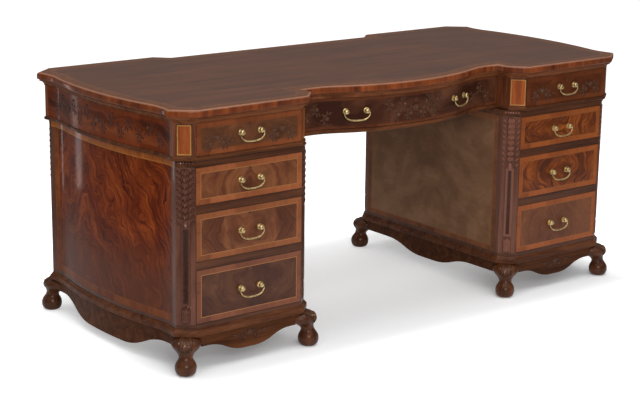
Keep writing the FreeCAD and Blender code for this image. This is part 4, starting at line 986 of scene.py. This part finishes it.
# %% Legs and feet
# Each ring: its level, how far it reaches out from the corner, and its radius.
leg_rings = [
    (0.0, 0.019, 0.0190), (0.003, 0.019, 0.0248), (0.009, 0.019, 0.0297), (0.017, 0.019, 0.0322),
    (0.025, 0.019, 0.0327), (0.033, 0.019, 0.0312), (0.040, 0.0187, 0.0276), (0.0455, 0.0182, 0.0236),
    (0.051, 0.017, 0.0211), (0.056, 0.0152, 0.0210), (0.061, 0.0125, 0.0228), (0.067, 0.008, 0.0275),
    (0.073, 0.004, 0.0340), (0.079, 0.0005, 0.0400), (0.085, -0.002, 0.0445), (0.091, -0.005, 0.0463),
    (0.098, -0.0095, 0.0446), (0.1045, -0.0147, 0.0388), (0.1105, -0.0175, 0.0300)]
legs = bmesh.new()
leg_places = [place for which in POST_CANTS for place in four_ways(POST_CANTS, which)]
for (x, y), (u, v) in leg_places:
    out = facing((x, y, 0), (u, v, 0)).to_3x3() @ Vector((0, 0, 1))
    last = None
    for index, (z, reach, radius) in enumerate(leg_rings):
        centre = Vector((x, y, z)) + out * reach
        ring = bmesh.ops.create_circle(legs, cap_ends=index in (0, len(leg_rings) - 1), segments=20,
                                       radius=radius, matrix=Matrix.Translation(centre))["verts"]
        edges = list({edge for vert in ring for edge in vert.link_edges})
        if last:
            bmesh.ops.bridge_loops(legs, edges=last + edges)
        last = edges
leg_piece = made("carved_legs", legs, "desk", leg_wood, sharp=80)
smooth = leg_piece.modifiers.new("smooth", "SUBSURF")
smooth.levels = smooth.render_levels = 2
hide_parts("feet")

# %% Leaves on the knees
KNEE_REACH = 0.09  # the pattern is pressed on from this far outside the corner


def knee_leaves(shape):
    for hand in (-1, 1):
        leaf(shape, (hand * 0.004, 0.116), -0.95, 0.042, 0.017, -0.5, 0.0042, rows=8, taper=0.8, hand=hand)
        leaf(shape, (hand * 0.002, 0.112), -1.25, 0.040, 0.015, -0.25, 0.0048, rows=8, taper=0.8, hand=hand)
    leaf(shape, (0, 0.110), DOWN, 0.038, 0.016, 0, 0.0055, rows=8, taper=0.8)
    for index in range(-2, 3):
        boss(shape, (index * 0.0085, 0.093 + 0.0022 * abs(index)), 0.0028, 0.0062)


knees = blank()
for (x, y), (u, v) in leg_places:
    knee_leaves(knees)
    newest = fresh(knees)
    keep_relief(knees, newest)
    lay_on(newest, facing((x, y, 0), (u, v, 0)), leg_piece, KNEE_REACH)
knee_wood = carved_finish("knee_carving", "1f0f08", "452615", "66402a", "b09080", 0.0052)
knee_piece = made("knee_leaves", knees, "desk", knee_wood, sharp=60, closed=False)

# %% Motifs on the aprons
MOTIF_X, BEFORE_APRON, MOTIF_LEVEL = 0.644, -0.40, 0.088


def apron_motif(shape):
    flower(shape, (0, 0), 0.013, 7, 0.0024)
    for hand in (-1, 1):
        scroll(shape, (hand * 0.012, -0.004), 0.013, hand, 1, 0.0022)
        leaf(shape, (hand * 0.040, -0.004), 0.15, 0.030, 0.009, 0.3, 0.0022, hand=hand)


apron_carved = carved_finish("apron_carving", "2a140b", "4a2918", "683e28", "a08470", 0.0034)
for side, sign in (("left", -1), ("right", 1)):
    carving(f"{side}_apron_motif", "desk", nodes["aprons"],
            facing((sign * MOTIF_X, BEFORE_APRON, MOTIF_LEVEL), (1, 0, 0)), apron_motif, apron_carved)

# %% [markdown]
# ## Brass
# Two posts carry each swinging bail. Every post ends in a turned knob on a rosette: a profile spun once
# round the post. The bail grows thicker towards the middle of its grip, and has two small collars on each
# side. The keyhole's plate on each front is toned as dark as the wood round it.

# %% Brass finish
PLATE_REACH = 0.02


def brass_finish(name, plate_x=None):
    """Lacquered brass. Within reach of plate_x, across the desk, it is toned to the colour of the wood."""
    material, n, shader, spot = finish(name, roughness=0.4, coat=0.0, gloss=0.5)
    colour = n.ramp(n.noise(spot, 160, 3, 0.6), [(0.3, paint("846a42")), (0.6, paint("d8be88"))])
    metal = 1.0
    if plate_x is not None:
        away = n.maths("ABSOLUTE", n.maths("SUBTRACT", n.parts(spot)[0], plate_x))
        metal = n.maths("GREATER_THAN", away, PLATE_REACH)
        colour = n.mix(metal, paint("5c3620"), colour)
    n.feed(shader.inputs["Base Color"], colour)
    n.feed(shader.inputs["Metallic"], metal)
    return material


bright = brass_finish("bright_brass")
toned = {}
for name in nodes:
    if name.endswith("_fittings"):
        low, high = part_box(name)
        middle = round((low.x + high.x) / 2, 4)
        if middle not in toned:
            toned[middle] = brass_finish(f"brass_and_toned_plate_{len(toned)}", middle)
        dress(name, toned[middle])
print("brass finishes with a toned plate, by the plate's place:", list(toned))

# %% Turned knobs
# From the rosette's foot to the knob's tip: radius, and height above the drawer's face.
knob_profile = [(0.0100, 0.0002), (0.0102, 0.0020), (0.0096, 0.0032), (0.0076, 0.0036), (0.0062, 0.0048),
                (0.0064, 0.0062), (0.0078, 0.0082), (0.0086, 0.0108), (0.0082, 0.0134), (0.0066, 0.0155),
                (0.0038, 0.0167), (0.0, 0.0171)]


def knob(shape, stand):
    """A rosette and a knob, turned on a lathe: the profile is spun round the post."""
    points = [shape.verts.new((radius, 0, height)) for radius, height in knob_profile]
    edges = [shape.edges.new(pair) for pair in zip(points, points[1:])]
    bmesh.ops.spin(shape, geom=points + edges, cent=(0, 0, 0), axis=(0, 0, 1), angle=math.tau, steps=20,
                   use_merge=True)
    pole = [vert for vert in shape.verts if vert.co.to_2d().length < 1e-6]
    bmesh.ops.remove_doubles(shape, verts=pole, dist=1e-5)
    bmesh.ops.transform(shape, matrix=stand, verts=fresh(shape))


# %% Bails
BAIL_HALF_WIDTH, BAIL_DROP = 0.0425, 0.0275
LEAN_OUT = 0.13  # how far a bail leans out, as a share of how far down a point is


def bail_line():
    """Where the bail's middle runs and how thick it is: a pin, a flattened half round that hangs, a pin."""
    half = [((0.0303, 0.0), 0.0022), ((0.0350, 0.0), 0.0022), ((0.0385, 0.0), 0.0021),
            ((0.0411, -0.0016), 0.0018)]
    for degrees in range(10, 90, 4):
        angle = math.radians(degrees)
        collar = 0.0008 if degrees in (46, 58) else 0.0
        half.append(((BAIL_HALF_WIDTH * math.cos(angle) ** 0.8, -BAIL_DROP * math.sin(angle) ** 0.75),
                     0.0017 + 0.0009 * math.sin(angle) ** 2 + collar))
    return half + [((-x, z), radius) for (x, z), radius in reversed(half)]


def bail_shape(shape, stand):
    """Rings along the line, bridged one to the next."""
    line = bail_line()
    out = Vector((0, 0, 1))
    last = None
    for index, ((x, z), radius) in enumerate(line):
        (x0, z0), (x1, z1) = line[max(index - 1, 0)][0], line[min(index + 1, len(line) - 1)][0]
        ahead = Vector((x1 - x0, z1 - z0, 0)).normalized()
        turn = Matrix((out, ahead.cross(out), ahead)).transposed().to_4x4()
        place = stand @ Matrix.Translation((x, z, -LEAN_OUT * z)) @ turn
        ring = bmesh.ops.create_circle(shape, cap_ends=index in (0, len(line) - 1), segments=10,
                                       radius=radius, matrix=place)["verts"]
        edges = list({edge for vert in ring for edge in vert.link_edges})
        if last:
            bmesh.ops.bridge_loops(shape, edges=last + edges)
        last = edges


# %% Handles on every drawer
HALF_SPACING = 0.034  # from a bail's middle to each post
PIVOT_REACH = 0.012  # from the drawer's face to the pin
knob_sets = {}
for joint in frame["joints"]:
    if not joint["name"].endswith("_bail_swing"):
        continue
    pivot, across = Vector(joint["pos_m"]), -Vector(joint["axis"])
    stand = facing(pivot, across)
    drawer, name = joint["parent"], joint["child"]
    if drawer not in knob_sets:
        knob_sets[drawer] = blank()
    for hand in (-1, 1):
        knob(knob_sets[drawer], stand @ Matrix.Translation((hand * HALF_SPACING, 0, -PIVOT_REACH)))
    handle = bmesh.new()
    bail_shape(handle, stand)
    bail = made(name + "_grip", handle, name, bright, sharp=60)
    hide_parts(name)
for drawer, shape in knob_sets.items():
    knobs = made(drawer + "_knobs", shape, drawer, bright, sharp=50)

# %% [markdown]
# ## Floor and light
# The desk stands on a large pale sheet. Near the desk the sheet is pale and lit as any surface is, so that
# it keeps the shadows; further off its own colour is grey, and it throws less light back. The camera sees
# it glow as well, up to white beyond the desk. Under the desk and just in front of it that glow stays
# faint, lowest at the front: a painted shadow in the shape of the desk. Polished wood sees a faint glow
# near the desk. The room gives a low, even light that grows towards the ceiling.

# %% Floor
HALF_FLOOR = 25
floor_mesh = bmesh.new()
bmesh.ops.create_grid(floor_mesh, x_segments=1, y_segments=1, size=HALF_FLOOR)
floor_data = bpy.data.meshes.new("floor")
floor_mesh.to_mesh(floor_data)
floor_mesh.free()
floor = bpy.data.objects.new("floor", floor_data)
bpy.context.scene.collection.objects.link(floor)
print("floor", [round(size) for size in floor.dimensions])

# %% Finish of the floor
near_colour, far_colour = (0.86, 0.865, 0.87, 1), (0.22, 0.22, 0.22, 1)
POOL_MIDDLE, POOL_SHAPE = (0.5, 0.05, 0), (0.66, 0.9, 0)  # an oval pool of pale floor, to the desk's right
# Under this ground the camera's glow is kept low: a painted shadow.
HALF_LENGTH, HALF_DEPTH = 0.75, 0.33  # the ground under the desk, which stays in shade
floor_material = bpy.data.materials.new("pale_floor")
floor_material.use_nodes = True
n = Nodes(floor_material.node_tree)
shader = floor_material.node_tree.nodes["Principled BSDF"]
shader.inputs["Roughness"].default_value = 0.95
shader.inputs["Specular IOR Level"].default_value = 0.1
spot = n.add("TexCoord").outputs["Object"]
away = n.vector("LENGTH", n.vector("MULTIPLY", n.vector("SUBTRACT", spot, POOL_MIDDLE), POOL_SHAPE))
n.feed(shader.inputs["Base Color"], n.mix(n.fade(away, 1.1, 2.1), near_colour, far_colour))
x, y, _ = n.parts(spot)
beside = n.maths("MAXIMUM", n.maths("SUBTRACT", n.maths("ABSOLUTE", x), HALF_LENGTH),
                 n.maths("SUBTRACT", n.maths("ABSOLUTE", y), HALF_DEPTH))
# Painted shadow: the camera's glow stays low under and just in front of the desk, lowest at the front.
painted_shadow_glow = n.fade(y, -0.35, 0.05, 0.14, 0.42)  # under the desk, brighter towards the back
path = n.add("LightPath").outputs
camera_glow = n.maths("MULTIPLY", path["Is Camera Ray"], n.fade(beside, 0.1, 0.38, painted_shadow_glow, 1.0))
mirrored = n.maths("ADD", path["Is Glossy Ray"], path["Is Transmission Ray"], clamp=True)
mirror_glow = n.maths("MULTIPLY", mirrored, n.fade(away, 0.75, 1.9, 0.25, 0.0))
n.feed(shader.inputs["Emission Color"], (1, 1, 1, 1))
n.feed(shader.inputs["Emission Strength"], n.maths("MAXIMUM", camera_glow, mirror_glow))
floor_data.materials.append(floor_material)
print("finish:", floor_material.name)

# %% Room
world = bpy.data.worlds.new("pale_room")
bpy.context.scene.world = world
world.use_nodes = True
n = Nodes(world.node_tree)
path = n.add("LightPath").outputs
height = n.parts(n.add("TexCoord").outputs["Generated"])[2]
room_light = n.fade(height, 0.25, 0.9, 0.2, 0.7)
background = world.node_tree.nodes["Background"]
n.feed(background.inputs["Color"], (1, 1, 1, 1))
n.feed(background.inputs["Strength"], n.maths("MAXIMUM", path["Is Camera Ray"], room_light))
print("room:", world.name)

# %% [markdown]
# ## Lamps
# Three soft lamps shape the desk: one overhead, one before its left corner, and a small upright card, low
# behind the left end, whose reflection runs down that polished end.

# %% Lamps


def softbox(name, place, aim, size, watts):
    """A soft, rectangular lamp that the camera doesn't see."""
    light = bpy.data.lights.new(name, "AREA")
    light.shape = "RECTANGLE"
    light.size, light.size_y = size
    light.energy = watts
    lamp = bpy.data.objects.new(name, light)
    bpy.context.scene.collection.objects.link(lamp)
    lamp.location = place
    lamp.rotation_euler = (Vector(aim) - Vector(place)).to_track_quat("-Z", "Y").to_euler()
    lamp.visible_camera = False
    print(name, "lamp:", watts, "W")


softbox("overhead", place=(-0.5, -0.8, 4.2), aim=(0, 0, 0.4), size=(4.5, 3.5), watts=110)
softbox("front_left", place=(-2.6, -4.6, 2.4), aim=(0, 0, 0.4), size=(2.6, 2.2), watts=120)
softbox("end_card", place=(-1.41, 1.84, 0.27), aim=(-0.93, 0.1, 0.27), size=(0.13, 0.5), watts=0.95)
